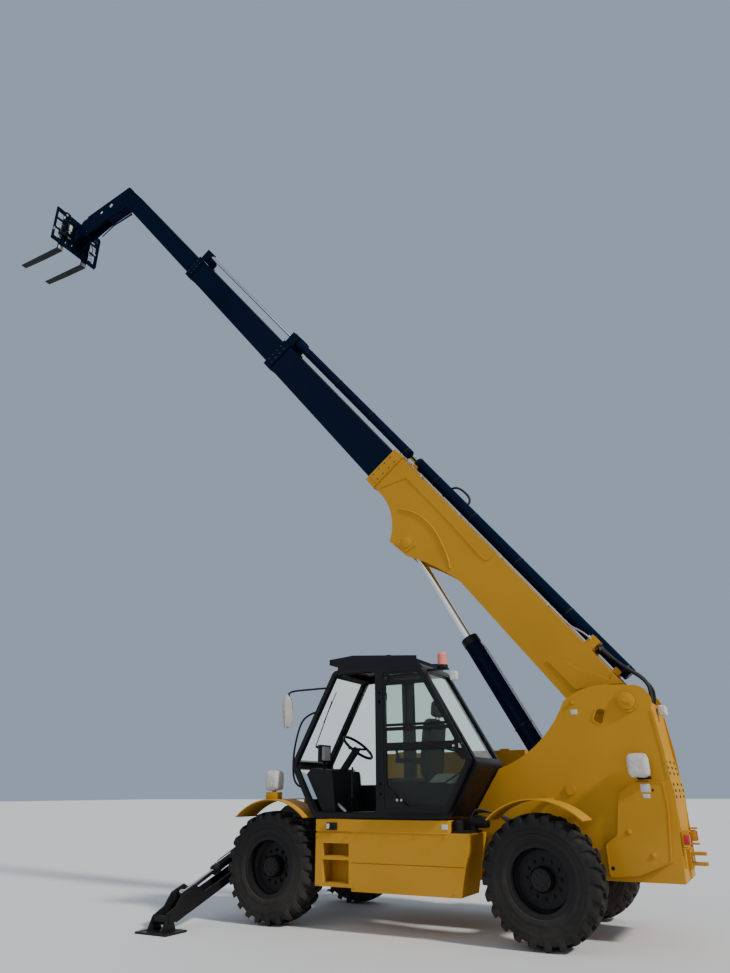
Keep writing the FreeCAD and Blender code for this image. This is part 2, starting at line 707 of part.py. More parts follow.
def cab_part(ahead=False):
    """The cab outline cut off at the door post: the part behind the post, or the one ahead of it."""
    a, b, c, d, e, f = CAB_OUTLINE
    top = c[1] + (d[1] - c[1]) * (c[0] - DOOR_HINGE_X) / (c[0] - d[0])
    foot = (DOOR_HINGE_X, a[1])
    head = (DOOR_HINGE_X, top)
    return [foot, a, b, c, head] if ahead else [foot, head, d, e, f]


def face_slab(p, q, t0, t1, y0, y1, depth0, depth1):
    """A slab along the face from p to q of the cab, between two depths inside it."""
    dx, dz = q[0] - p[0], q[1] - p[1]
    length = math.hypot(dx, dz)
    nx, nz = -dz / length, dx / length
    def at(t, depth):
        return (p[0] + dx * t + nx * depth, p[1] + dz * t + nz * depth)
    return plate_xz([at(t0, depth0), at(t1, depth0), at(t1, depth1), at(t0, depth1)], y0, y1)


def above(z):
    return box(-5000, 5000, -3000, 3000, z, z + 5000)


def below(z):
    return box(-5000, 5000, -3000, 3000, z - 5000, z)


def side_windows():
    """Window shapes in the side walls: outline, lower limit, upper limit, wall."""
    front = rounded(inset(cab_part(True), CAB_POST + 20), 40)
    rear = rounded(inset(cab_part(), CAB_POST + 20), 40)
    return [(rear, SILL_Z, "left"), (rear, SILL_Z, "right"), (front, SILL_Z, "right")]


def glass_faces():
    """Cab faces that carry glass: the corners they run between, and the shares where glass starts and ends."""
    a, b, c, d, e, _ = CAB_OUTLINE
    return [(a, b, 0.30, 0.92), (b, c, 0.06, 0.94), (d, e, 0.08, 0.92)]


def wall_span(wall, thickness):
    if wall == "left":
        return CAB_OUT_Y - thickness, CAB_OUT_Y
    return CAB_IN_Y, CAB_IN_Y + thickness


def cab_frame():
    shell = plate_xz(rounded(CAB_OUTLINE, CAB_CORNER_R), CAB_IN_Y, CAB_OUT_Y)
    hollow = plate_xz(rounded(inset(CAB_OUTLINE, CAB_POST), 60), CAB_IN_Y + CAB_POST, CAB_OUT_Y - CAB_POST)
    shell = shell.cut(hollow)
    shell = shell.cut(plate_xz(rounded(inset(cab_part(True), CAB_POST), 60), CAB_OUT_Y - CAB_POST - 1,
                               CAB_OUT_Y + 1))
    for points, low, wall in side_windows():
        y0, y1 = wall_span(wall, CAB_POST)
        shell = shell.cut(plate_xz(points, y0 - 1, y1 + 1).common(above(low)))
    y0, y1 = CAB_IN_Y + 60, CAB_OUT_Y - 60
    for start, end, t0, t1 in glass_faces():
        shell = shell.cut(face_slab(start, end, t0, t1, y0, y1, -20, CAB_POST + 20))
    shell = shell.cut(face_slab(CAB_OUTLINE[2], CAB_OUTLINE[3], 0.08, 0.92, y0, y1, -20, CAB_POST + 20))
    shell = shell.cut(box(FLOOR_X0, FLOOR_X1, y0, y1, CAB_FLOOR_Z - 1, CAB_FLOOR_Z + CAB_POST + 1))
    parts = [shell]
    for z in DOOR_HINGES:
        end = z + DOOR_HINGE_LENGTH
        for z0 in (z - 20, end + 2):
            parts.append(box(DOOR_HINGE_X - 13, DOOR_HINGE_X + 13, CAB_OUT_Y - 1, DOOR_HINGE_Y + 13, z0, z0 + 18))
        parts.append(Part.makeCylinder(DOOR_PIN_R, DOOR_HINGE_LENGTH + 40, V(DOOR_HINGE_X, DOOR_HINGE_Y, z - 20)))
    return join(parts)


def cab_floor():
    g = SEAT_GAP
    y0, y1 = CAB_IN_Y + 60 + g, CAB_OUT_Y - 60 - g
    plate = box(FLOOR_X0 + g, FLOOR_X1 - g, y0, y1, CAB_FLOOR_Z, CAB_FLOOR_Z + CAB_POST - 3)
    feet = [Part.makeCylinder(35, CAB_FLOOR_Z - TANK_Z1, V(x, 800, TANK_Z1)) for x in cab_feet_x()]
    return join([plate] + feet)


def cab_glass():
    g = SEAT_GAP
    panes = []
    for points, low, wall in side_windows():
        y0, y1 = wall_span(wall, CAB_POST)
        mid = (y0 + y1) / 2
        panes.append(plate_xz(points, mid - GLASS_T / 2, mid + GLASS_T / 2).common(above(low + g)))
    y0, y1 = CAB_IN_Y + 60 + g, CAB_OUT_Y - 60 - g
    for start, end, t0, t1 in glass_faces():
        panes.append(face_slab(start, end, t0 + 0.0005, t1 - 0.0005, y0, y1, 20, 20 + GLASS_T))
    return Part.makeCompound(panes)


def cab_roof():
    c, d = CAB_OUTLINE[2], CAB_OUTLINE[3]
    lid = face_slab(c, d, 0.04, 0.96, CAB_IN_Y + 20, CAB_OUT_Y - 20, -ROOF_T, -SEAT_GAP)
    x, z = c
    rail = [(x + 86, z + 73), (x + 86, z + 134), (x - 224, z + 157), (d[0] + 60, z + 92), (d[0] + 60, z + 48),
            (x - 60, z + ROOF_T - 2), (x + 20, z + 62)]
    left, right = CAB_OUT_Y - 50, CAB_IN_Y + 50
    parts = [lid, plate_xz(rail, left - RACK_T, left), plate_xz(rail, right, right + RACK_T)]
    parts.append(box(x + 78, x + 86, right, left, z + 73, z + 134))
    for i in range(RACK_BARS):
        bar_x = x - 40 - i * RACK_PITCH
        parts.append(box(bar_x - 40, bar_x, right, left, z + 100, z + 126))
    return join(parts)


def closed_door(points_gap, y0, y1):
    return plate_xz(rounded(inset(cab_part(True), points_gap), 50), y0, y1)


def open_door(shape):
    shape = shape.copy()
    shape.rotate(V(DOOR_HINGE_X, DOOR_HINGE_Y, 0), V(0, 0, 1), 180)
    return shape


def door_openings(gap, y0, y1):
    """The door's three glass openings, seen closed, and its solid corner panel left out of them."""
    whole = closed_door(CAB_POST + DOOR_GAP + 55 + gap, y0, y1)
    limits = [(CAB_FLOOR_Z, DOOR_BARS[0][0]), (DOOR_BARS[0][1], DOOR_BARS[1][0]), (DOOR_BARS[1][1], 3000.0)]
    start = (DOOR_HINGE_X - 80, CAB_FLOOR_Z - 110)
    corner = plate_xz([start, (DOOR_CORNER_X + gap, start[1]), (start[0], DOOR_CORNER_Z + gap)], y0 - 1, y1 + 1)
    result = []
    for low, high in limits:
        piece = whole.common(above(low + gap)).common(below(high - gap))
        result.append(piece.cut(corner))
    return result


def cab_door():
    y1 = CAB_OUT_Y
    y0 = y1 - DOOR_T
    door = closed_door(CAB_POST + DOOR_GAP, y0, y1)
    for opening in door_openings(0, y0 - 1, y1 + 1):
        door = door.cut(opening)
    parts = [door]
    for z in DOOR_HINGES:
        end = z + DOOR_HINGE_LENGTH
        parts.append(Part.makeCylinder(14, DOOR_HINGE_LENGTH, V(DOOR_HINGE_X, DOOR_HINGE_Y, z)))
        parts.append(box(DOOR_HINGE_X + 8, DOOR_HINGE_X + 110, y1 + 4, y1 + 14, z, end))
        parts.append(box(DOOR_HINGE_X + 62, DOOR_HINGE_X + 110, y1 - 1, y1 + 5, z, end))
    door = join(parts)
    for z in DOOR_HINGES:
        door = door.cut(Part.makeCylinder(DOOR_PIN_R + SHAFT_GAP, DOOR_HINGE_LENGTH + 2,
                                          V(DOOR_HINGE_X, DOOR_HINGE_Y, z - 1)))
    return open_door(door)


def door_glass():
    mid = CAB_OUT_Y - DOOR_T / 2
    return open_door(Part.makeCompound(door_openings(SEAT_GAP, mid - GLASS_T / 2, mid + GLASS_T / 2)))


def seat():
    floor = CAB_FLOOR_Z + CAB_POST - 3
    x, y = SEAT_X, SEAT_Y
    back = [(x, 1370), (x + 120, 1370), (x + 40, 1960), (x - 50, 1960)]
    parts = [box(x + 80, x + 410, y - 140, y + 140, floor, 1240), box(x, x + 510, y - 220, y + 220, 1240, 1370),
             plate_xz(back, y - 200, y + 200)]
    return join(parts)


def console():
    """The desk under the windscreen with the steering column, its wheel and a screen on a stalk."""
    floor = CAB_FLOOR_Z + CAB_POST - 3
    x, y = DESK_X, SEAT_Y
    side = [(x, floor), (x + 150, floor), (x + 370, 1440), (x + 310, 1500), (x + 50, 1470)]
    desk = plate_xz(side, y - 310, y + 310)
    column = rod((x + 150, y, 1400), (x - 90, y, 1700), 40)
    wheel = Part.makeTorus(185, 15, V(x - 100, y, 1712), V(-240, 0, 300))
    spoke = rod((x - 89, y - 180, 1699), (x - 89, y + 180, 1699), 12)
    screen = box(x + 210, x + 250, y + 70, y + 280, 1560, 1740).fuse(box(x + 220, x + 240, y + 160, y + 190, 1440, 1570))
    return join([desk, column, wheel, spoke, screen])


# Lamps, mirror and small bodywork

def lamps():
    result = []
    out = TOWER_IN_Y + TOWER_T
    x = WHEELBASE
    for s in (1, -1):
        wheel_arch = across(WHEELBASE, TYRE_R, FENDER_R + FENDER_T + SEAT_GAP, 800, 1000)
        foot = [box(x - 10, x + 140, 840, 960, TYRE_R + FENDER_R - 20, 1265).cut(wheel_arch),
                box(x - 30, x + 160, 820, 980, 1265, 1485)]
        work = [box(-800, -760, out, out + 60, 1400, 1440), box(-860, -700, out + 30, out + 150, 1440, 1570)]
        tail = [plate_xz([(rear_x(800) - SEAT_GAP, 800), (rear_x(900) - SEAT_GAP, 900), (-1200, 900), (-1200, 800)],
                         300, 400)]
        for group in (foot, work, tail):
            whole = join(group)
            result.append(whole if s > 0 else mirror_y(whole))
    (dx, dz), (ex, ez) = CAB_OUTLINE[3:5]
    lean = (dx - ex) / (dz - ez)
    y, z = CAB_OUT_Y - 140, dz - 65
    ends = [(dx - lean * (dz - h) - 1, h) for h in (z - 15, z)]
    shelf = plate_xz([(dx - 265, z - 15), ends[0], ends[1], (dx - 265, z)], y - 45, y + 45)
    x = dx - 203
    result.append(join([shelf, Part.makeCylinder(58, 35, V(x, y, z - 1)), Part.makeCylinder(50, 170, V(x, y, z))]))
    return Part.makeCompound(result)


def bent_bar(points, y, radius, bend):
    """A round bar through (x, z) points in one upright plane, its inner corners bent to an arc."""
    path = [points[0]]
    for before, corner, after in zip(points, points[1:], points[2:]):
        u = V(before[0] - corner[0], before[1] - corner[1], 0).normalize()
        w = V(after[0] - corner[0], after[1] - corner[1], 0).normalize()
        half = u.getAngle(w) / 2
        reach = bend / math.tan(half)
        middle = V(corner[0], corner[1], 0) + (u + w).normalize() * (bend / math.sin(half) - bend)
        path.append((corner[0] + u.x * reach, corner[1] + u.y * reach))
        path.append((middle.x, middle.y, corner[0] + w.x * reach, corner[1] + w.y * reach))
    path.append(points[-1])
    edges = []
    last = path[0]
    for point in path[1:]:
        end = point[-2:]
        if len(point) == 4:
            edges.append(Part.Arc(V(last[0], y, last[1]), V(point[0], y, point[1]), V(end[0], y, end[1])).toShape())
        else:
            edges.append(Part.makeLine(V(last[0], y, last[1]), V(end[0], y, end[1])))
        last = end
    (ax, az), (bx, bz) = points[:2]
    circle = Part.Wire([Part.Circle(V(ax, y, az), V(bx - ax, 0, bz - az), radius).toShape()])
    return Part.Wire(edges).makePipeShell([circle], True, False)


def mirrors():
    """A mirror on its arm ahead of the cab's outer post, and the grab rail on the same post."""
    a, b, c = CAB_OUTLINE[:3]
    def front(z):
        """The cab's front face at height z, and a gap."""
        (x0, z0), (x1, z1) = (a, b) if z < b[1] else (b, c)
        return x0 + (x1 - x0) * (z - z0) / (z1 - z0) + 9
    x = b[0] + 87
    arm = bent_bar([(front(2330), 2330), (x, 2322), (x, 2200)], CAB_OUT_Y - 30, 11, 25)
    glass = box(x - 22, x + 23, CAB_OUT_Y - 110, CAB_OUT_Y + 60, 1935, 2270)
    rail = bent_bar([(front(2081), 2081), (x - 127, 2050), (x - 9, 1626), (x - 34, 1330), (front(1312), 1312)],
                    CAB_OUT_Y - 40, 13, 40)
    return Part.makeCompound([arm.fuse(glass), rail])


def hydraulic_unit():
    """The motor and the filter on the tank's rear shelf."""
    x, z = TANK_X0, SHELF_Z
    foot = box(x - 110, x + 75, TANK_IN_Y + 60, 960, z, z + 22)
    pot = Part.makeCylinder(48, CAB_FLOOR_Z - 8 - z, V(x + 25, 900, z))
    motor = along_x(760, z + 92, 48, x - 230, x - 60)
    saddle = box(x - 105, x - 65, 715, 805, z + 10, z + 90)
    block = box(x - 70, x + 60, TANK_IN_Y + 80, 800, z + 10, z + 120)
    return join([foot, pot, motor, saddle, block])


def tow_hitch():
    face = [(rear_x(z) - SEAT_GAP, z) for z in (590, 760)]
    back = plate_xz(face + [(-1160, 760), (-1160, 590)], -90, 90)
    jaws = [box(-1290, -1160, -60, 60, z, z + 25) for z in (620, 705)]
    body = join([back] + jaws)
    return body.cut(Part.makeCylinder(16, 400, V(-1235, 0, 500)))


def pivot_hoses():
    """Hoses from inside the tower over the pivot to the fittings on the boom's top."""
    result = []
    c, d = math.cos(math.radians(BOOM_ANGLE)), math.sin(math.radians(BOOM_ANGLE))
    for y, n, top in HOSES:
        x = HOSE_X
        corner = ((x - boom_point(0, n)[0]) / c, n)
        bend = boom_point(*corner)
        path = [(x, 1600.0), bend, boom_point(HOSE_END_U, n)]
        result.append(bent_bar(path, y, HOSE_R, top))
    return Part.makeCompound(result)


# Boom

def boom_base():
    height, width, end = SECTIONS["base"]
    top = BOOM_MID_N + height / 2
    foot = BOOM_MID_N - height / 2
    start = 350.0
    parts = [tube(start, end, height, width, BOOM_WALL), collar("base")]
    parts.append(box(start, start + 12, -width / 2, width / 2, foot, top))
    tail = [(-90, 75), (150, top), (start + 5, top), (start + 5, foot), (180, -330), (-100, -90)]
    horn = [(3960, foot + 5), (3960, foot - 2), (3605, -538, 3340, -780), (3010, -735), (2690, -580, 2250, foot - 2),
            (2250, foot + 5)]
    for y0 in (width / 2 - 14, -width / 2 - 2):
        parts.append(plate_xz(tail, y0, y0 + 16))
        parts.append(plate_xz(horn, y0, y0 + 16))
    reach = TOWER_IN_Y - 5
    hub = across(0, 0, 100, -reach, reach).fuse(across(0, 0, 130, -width / 2, width / 2))
    parts.append(hub)
    stub = LIFT_EYE_HALF_W + 15
    for y0, y1 in ((stub, width / 2 + 12), (-width / 2 - 12, -stub)):
        parts.append(across(LIFT_PIN_U, LIFT_PIN_N, LIFT_PIN_R, y0, y1))
    for u in (TELE_U0 + 60, TELE_U1 - 90):
        parts.append(box(u, u + 80, TELE_Y - 75, TELE_Y + 75, top, top + TELE_N - 40))
    for y0, y1 in ((20, 160), (-198, -148)):
        parts.append(box(HOSE_END_U + SEAT_GAP, HOSE_END_U + 110, y0, y1, top, top + 130))
    whole = join(parts)
    whole = whole.cut(across(0, 0, BOOM_SHAFT_R + SHAFT_GAP, -TOWER_IN_Y, TOWER_IN_Y))
    return whole.cut(rod((TELE_U0, TELE_Y, top + TELE_N), (TELE_U1, TELE_Y, top + TELE_N),
                         TELE_BARREL_R + SEAT_GAP))


def telescope_height():
    return BOOM_MID_N + SECTIONS["base"][0] / 2 + TELE_N


def hollow_barrel(start, end, y, n, radius, rod_radius):
    """A cylinder barrel along the boom, closed behind, with the rod's gland at its far end."""
    gland = rod_radius + SHAFT_GAP
    body = rod((start, y, n), (end, y, n), radius)
    body = body.cut(rod((start + 40, y, n), (end - 90, y, n), radius - 9))
    return body.cut(rod((end - 91, y, n), (end + 1, y, n), gland))


def telescope_barrel():
    return hollow_barrel(TELE_U0, TELE_U1, TELE_Y, telescope_height(), TELE_BARREL_R, TELE_ROD_R)


def section_body(name, previous, following):
    height, width, end = SECTIONS[name]
    tail = section_tail(previous)
    parts = [tube(tail, end, height, width, BOOM_WALL)] + slides(name, previous)
    if following:
        parts.append(collar(name))
        parts += head_blocks(name, following)
    return parts


def head_bracket(name, u0, y0, y1, n_top):
    """A block on a section's head that holds a telescope rod."""
    height, _, end = SECTIONS[name]
    top = BOOM_MID_N + height / 2
    return box(end - u0, end, y0, y1, top, n_top)


def second_section():
    n = telescope_height()
    end = SECTIONS["second"][2]
    parts = section_body("second", "base", "third")
    parts.append(head_bracket("second", COLLAR_LENGTH, TELE_Y - 60, TELE_2_Y + 82, n + 82))
    whole = join(parts)
    hole = rod((end - COLLAR_LENGTH - 1, TELE_2_Y, n), (end + 1, TELE_2_Y, n), UPPER_BARREL_R + SEAT_GAP)
    return whole.cut(hole)


def telescope_rod():
    n = telescope_height()
    end = SECTIONS["second"][2] - COLLAR_LENGTH
    return rod((TELE_U1 - 860, TELE_Y, n), (end, TELE_Y, n), TELE_ROD_R)


def upper_barrel():
    n = telescope_height()
    end = SECTIONS["second"][2]
    return hollow_barrel(end - 3300, end, TELE_2_Y, n, UPPER_BARREL_R, TELE_2_ROD_R)


def third_section():
    n = telescope_height()
    parts = section_body("third", "second", "fourth")
    parts.append(head_bracket("third", COLLAR_LENGTH, TELE_2_Y - 50, TELE_2_Y + 50, n + 55))
    return join(parts)


def upper_rod():
    n = telescope_height()
    end = SECTIONS["third"][2] - COLLAR_LENGTH
    return rod((SECTIONS["second"][2] - 400, TELE_2_Y, n), (end, TELE_2_Y, n), TELE_2_ROD_R)


def fourth_section():
    height, width, end = SECTIONS["fourth"]
    top = BOOM_MID_N + height / 2
    foot = BOOM_MID_N - height / 2
    parts = section_body("fourth", "third", None)
    whole = join(parts).cut(box(end - 400, end + 10, -width, width, foot - 1, top + 1))
    q, r = TILT_PIVOT_U, TILT_PIVOT_N
    outline = [(end - 400, top), (end, top), (q + 330, r + 150), (q + 240, r - 60), (q + 60, r - 120, q - 130, r - 60),
               (q - 210, r + 80), (q - 380, r + 620, end - 340, foot), (end - 400, foot)]
    hollow = [(end - 401, top - 14), (end - 12, top - 14), (q + 111 - 14, r + 610), (q + 111 + 60, r + 610), (q + 900, r - 400),
              (q - 500, r - 400), (q - 400, r + 330), (q - 372, r + 620, end - 322, foot + 14), (end - 401, foot + 14)]
    head = plate_xz(outline, -width / 2, width / 2)
    head = head.cut(plate_xz(hollow, -width / 2 + HEAD_CHEEK, width / 2 - HEAD_CHEEK))
    head = head.cut(across(q, r, TILT_PIN_R + SHAFT_GAP, -width, width))
    pin = across(TILT_BASE_U, TILT_BASE_N, TILT_BASE_PIN_R, -width / 2 - 8, width / 2 + 8)
    return join([whole, head, pin])


# Tilt cylinder and carriage

def tilt_lug():
    a = math.radians(TILT_LUG_DIRECTION)
    return (TILT_PIVOT_U + TILT_LUG_R * math.cos(a), TILT_PIVOT_N + TILT_LUG_R * math.sin(a))


def on_line(start, direction, distance):
    a = math.radians(direction)
    return (start[0] + distance * math.cos(a), start[1] + distance * math.sin(a))


def direction_of(start, end):
    return math.degrees(math.atan2(end[1] - start[1], end[0] - start[0]))


def cylinder_pair(foot, direction, length, barrel_r, rod_r, barrel_length, rod_start, eye, foot_pin_r, end_eye_r):
    """Barrel and rod of a cylinder in the X-Z plane; eye is half the width of both eyes."""
    def at(s):
        x, z = on_line(foot, direction, s)
        return (x, 0, z)
    wall = barrel_r * 0.14
    barrel = rod(at(foot_pin_r), at(barrel_length), barrel_r)
    barrel = barrel.fuse(across(foot[0], foot[1], barrel_r, -eye, eye))
    barrel = barrel.cut(rod(at(barrel_r + 30), at(barrel_length - 80), barrel_r - wall))
    barrel = barrel.cut(rod(at(barrel_length - 81), at(barrel_length + 1), rod_r + SHAFT_GAP))
    barrel = barrel.cut(across(foot[0], foot[1], foot_pin_r + SHAFT_GAP, -eye - 1, eye + 1))
    tip = on_line(foot, direction, length)
    inner = rod(at(rod_start), at(length), rod_r).fuse(across(tip[0], tip[1], end_eye_r, -eye, eye))
    return barrel, inner


def lift_cylinder():
    return cylinder_pair(lift_foot(), lift_direction(), lift_length(), LIFT_BARREL_R, LIFT_ROD_R,
                         LIFT_BARREL_LENGTH, LIFT_ROD_START, LIFT_EYE_HALF_W, LIFT_PIN_R, LIFT_EYE_R)


def tilt_cylinder():
    foot = (TILT_BASE_U, TILT_BASE_N)
    tip = tilt_lug()
    length = math.hypot(tip[0] - foot[0], tip[1] - foot[1])
    return cylinder_pair(foot, direction_of(foot, tip), length, TILT_BARREL_R, TILT_ROD_R, 790, 420, TILT_EYE_HALF_W,
                         TILT_BASE_PIN_R, 40)


def tilt_pivot():
    return boom_point(TILT_PIVOT_U, TILT_PIVOT_N)


def carriage():
    px, pz = tilt_pivot()
    lx, lz = boom_point(*tilt_lug())
    back = CARRIAGE_X - CARRIAGE_T
    z0, z1 = CARRIAGE_Z, CARRIAGE_Z + CARRIAGE_H
    half = CARRIAGE_W / 2
    parts = [box(back, CARRIAGE_X, -half, half, z0, z0 + 90), box(back, CARRIAGE_X, -half, half, z1 - 90, z1)]
    for y in (-half, -half + 250, half - 250 - 25, half - 25):
        parts.append(box(back - 30, CARRIAGE_X, y, y + 25, z0 + 20, z1 - 60))
    parts.append(box(back, CARRIAGE_X - 10, -230, 230, z0 + 80, z1 - 80))
    ear = [(px - 70, pz + 20), (px - 60, pz + 95, px + 40, pz + 85), (back + 5, z1 - 200), (back + 5, z0 + 120),
           (px + 20, pz - 80), (px - 60, pz - 65, px - 70, pz + 20)]
    lug = [(lx - 20, lz + 60), (back + 5, z1 - 110), (back + 5, z0 + 300), (px + 40, pz - 60), (px - 40, pz - 40),
           (lx - 60, lz)]
    width = SECTIONS["fourth"][1]
    for s in (1, -1):
        e0, e1 = width / 2 + 5, width / 2 + 27
        parts.append(plate_xz(ear, min(s * e0, s * e1), max(s * e0, s * e1)))
        c0, c1 = TILT_EYE_HALF_W + 8, TILT_EYE_HALF_W + 24
        parts.append(plate_xz(lug, min(s * c0, s * c1), max(s * c0, s * c1)))
    parts.append(across(px, pz, TILT_PIN_R, -width / 2 - 40, width / 2 + 40))
    return join(parts)


def forks():
    result = []
    x0 = CARRIAGE_X + SEAT_GAP
    z0 = CARRIAGE_Z - FORK_DROP
    z1 = CARRIAGE_Z + CARRIAGE_H + 12
    tip = x0 + FORK_T + FORK_LENGTH
    hook = x0 - CARRIAGE_T - 1
    side = [(x0, z0), (x0 + FORK_T + 500, z0), (tip, z0 + FORK_T - 14), (tip, z0 + FORK_T), (x0 + FORK_T, z0 + FORK_T),
            (x0 + FORK_T, z1), (hook - 19, z1), (hook - 19, z1 - 40), (hook, z1 - 40), (hook, z1 - 11), (x0, z1 - 11)]
    for y in (-FORK_SPACING / 2, FORK_SPACING / 2):
        result.append(plate_xz(side, y - FORK_W / 2, y + FORK_W / 2))
    return Part.makeCompound(result)


# Stabilisers, made on the left and mirrored

def leg_direction():
    return direction_of((LEG_HINGE_Y, LEG_HINGE_Z), (FOOT_Y, FOOT_PIVOT_Z))


def leg_point(s, n):
    """A point s along the leg from its hinge and n above its middle line, as (y, z)."""
    a = math.radians(leg_direction())
    return (LEG_HINGE_Y + s * math.cos(a) - n * math.sin(a), LEG_HINGE_Z + s * math.sin(a) + n * math.cos(a))


def along_x(y, z, radius, x0, x1):
    return Part.makeCylinder(radius, x1 - x0, V(x0, y, z), V(1, 0, 0))


def stabiliser_leg():
    length = math.hypot(FOOT_Y - LEG_HINGE_Y, FOOT_PIVOT_Z - LEG_HINGE_Z)
    x0, x1 = LEG_X - LEG_HALF_W, LEG_X + LEG_HALF_W
    h = LEG_HALF_H
    side = [leg_point(0, -h), leg_point(length, -h + 15), leg_point(length + 45, 0), leg_point(length, 60),
            leg_point(length - 120, h), leg_point(JACK_EYE_S + 90, JACK_EYE_N + 50),
            leg_point(JACK_EYE_S - 90, JACK_EYE_N + 50), leg_point(JACK_EYE_S - 220, 20), leg_point(200, 20),
            leg_point(60, 55), leg_point(0, 55), leg_point(-h + 5, 0)]
    parts = [plate_yz(side, x0, x0 + LEG_PLATE), plate_yz(side, x1 - LEG_PLATE, x1)]
    web = [leg_point(90, -h), leg_point(length - 110, -h), leg_point(length - 110, -h + LEG_PLATE),
           leg_point(90, -h + LEG_PLATE)]
    parts.append(plate_yz(web, x0, x1))
    parts.append(along_x(*leg_point(0, 0), 52, x0, x1))
    parts.append(along_x(FOOT_Y, FOOT_PIVOT_Z, 40, x0, x1))
    whole = join(parts)
    whole = whole.cut(along_x(*leg_point(0, 0), HINGE_PIN_R + SHAFT_GAP, x0 - 1, x1 + 1))
    return whole.cut(along_x(FOOT_Y, FOOT_PIVOT_Z, FOOT_PIN_R + SHAFT_GAP, x0 - 1, x1 + 1))


def stabiliser_foot():
    x0, x1 = LEG_X - LEG_HALF_W - 5, LEG_X + LEG_HALF_W + 5
    plate = box(LEG_X - PAD_LONG / 2, LEG_X + PAD_LONG / 2, FOOT_Y - PAD_WIDE / 2, FOOT_Y + PAD_WIDE / 2, 0, PAD_T)
    ear = [(FOOT_Y - 100, PAD_T - 2), (FOOT_Y + 100, PAD_T - 2), (FOOT_Y + 45, FOOT_PIVOT_Z + 20),
           (FOOT_Y, FOOT_PIVOT_Z + 50, FOOT_Y - 45, FOOT_PIVOT_Z + 20)]
    ears = [plate_yz(ear, x0 - 14, x0), plate_yz(ear, x1, x1 + 14)]
    pin = along_x(FOOT_Y, FOOT_PIVOT_Z, FOOT_PIN_R, x0 - 20, x1 + 20)
    return join([plate, pin] + ears)


def jack_eye():
    return leg_point(JACK_EYE_S, JACK_EYE_N)


def jack():
    """Barrel and rod, made in the X-Z plane and turned to lie across the machine."""
    foot = (JACK_TOP_Y, JACK_TOP_Z)
    tip = jack_eye()
    length = math.hypot(tip[0] - foot[0], tip[1] - foot[1])
    pieces = cylinder_pair(foot, direction_of(foot, tip), length, JACK_BARREL_R, JACK_ROD_R, JACK_BARREL_LENGTH,
                           560, JACK_EYE_HALF_W, JACK_PIN_R, 34)
    result = []
    for piece in pieces:
        piece = piece.copy()
        piece.rotate(V(0, 0, 0), V(0, 0, 1), 90)
        result.append(piece.translate(V(LEG_X, 0, 0)))
    return result


# Every piece by name: the body it belongs to and its shape

def pieces():
    barrel, inner = lift_cylinder()
    tilt_barrel, tilt_inner = [boom_place(shape) for shape in tilt_cylinder()]
    jack_barrel, jack_rod = jack()
    table = [
        ("chassis", "chassis_frame", chassis_frame()),
        ("chassis", "boom_tower", boom_tower()),
        ("chassis", "counterweight", counterweight()),
        ("chassis", "side_tank", side_tank()),
        ("chassis", "step_box", step_box()),
        ("chassis", "engine_hood", engine_hood()),
        ("chassis", "engine_block", engine_block()),
        ("chassis", "front_axle", axle(WHEELBASE)),
        ("chassis", "rear_axle", axle(0.0)),
        ("chassis", "fenders", fenders()),
        ("chassis", "cab_frame", cab_frame()),
        ("chassis", "cab_floor", cab_floor()),
        ("chassis", "cab_roof", cab_roof()),
        ("chassis", "cab_glass", cab_glass()),
        ("chassis", "seat", seat()),
        ("chassis", "console", console()),
        ("chassis", "lamps", lamps()),
        ("chassis", "mirrors", mirrors()),
        ("chassis", "hydraulic_unit", hydraulic_unit()),
        ("chassis", "tow_hitch", tow_hitch()),
        ("chassis", "pivot_hoses", pivot_hoses()),
        ("engine_lid", "engine_lid", engine_lid()),
        ("cab_door", "cab_door", cab_door()),
        ("cab_door", "door_glass", door_glass()),
        ("boom_base", "boom_base", boom_place(boom_base())),
        ("boom_base", "telescope_barrel", boom_place(telescope_barrel())),
        ("boom_second", "boom_second", boom_place(second_section())),
        ("boom_second", "telescope_rod", boom_place(telescope_rod())),
        ("boom_second", "upper_barrel", boom_place(upper_barrel())),
        ("boom_third", "boom_third", boom_place(third_section())),
        ("boom_third", "upper_rod", boom_place(upper_rod())),
        ("boom_fourth", "boom_fourth", boom_place(fourth_section())),
        ("tilt_barrel", "tilt_barrel", tilt_barrel),
        ("tilt_rod", "tilt_rod", tilt_inner),
        ("carriage", "carriage", carriage()),
        ("carriage", "forks", forks()),
        ("lift_barrel", "lift_barrel", barrel),
        ("lift_rod", "lift_rod", inner),
    ]
    left_tyre = tyre()
    for end, x in (("front", WHEELBASE), ("rear", 0.0)):
        for side, turn in (("left", lambda s: s), ("right", mirror_y)):
            corner = end + "_" + side
            table.append(("knuckle_" + corner, "knuckle_" + corner, turn(knuckle(x))))
            table.append(("wheel_" + corner, "rim_" + corner, turn(rim(x))))
            table.append(("wheel_" + corner, "tyre_" + corner, turn(left_tyre.translated(V(x, 0, TYRE_R)))))
    for side, turn in (("left", lambda s: s), ("right", mirror_y)):
        table.append(("leg_" + side, "leg_" + side, turn(stabiliser_leg())))
        table.append(("foot_" + side, "foot_" + side, turn(stabiliser_foot())))
        table.append(("jack_barrel_" + side, "jack_barrel_" + side, turn(jack_barrel)))
        table.append(("jack_rod_" + side, "jack_rod_" + side, turn(jack_rod)))
    return table


def origin_shift(table):
    """How far to move along X so that zero is half way between the rear end and the fork tips."""
    boxes = [shape.optimalBoundingBox() for _, name, shape in table if name in ("tow_hitch", "forks", "lamps")]
    return -(min(b.XMin for b in boxes) + max(b.XMax for b in boxes)) / 2


def main():
    os.makedirs("parts", exist_ok=True)
    table = pieces()
    shift = V(origin_shift(table), 0, 0)
    for _, name, shape in table:
        moved = shape.copy()
        moved.translate(shift)
        moved.exportStep("parts/" + name + ".step")


main()
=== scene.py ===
import json
import math

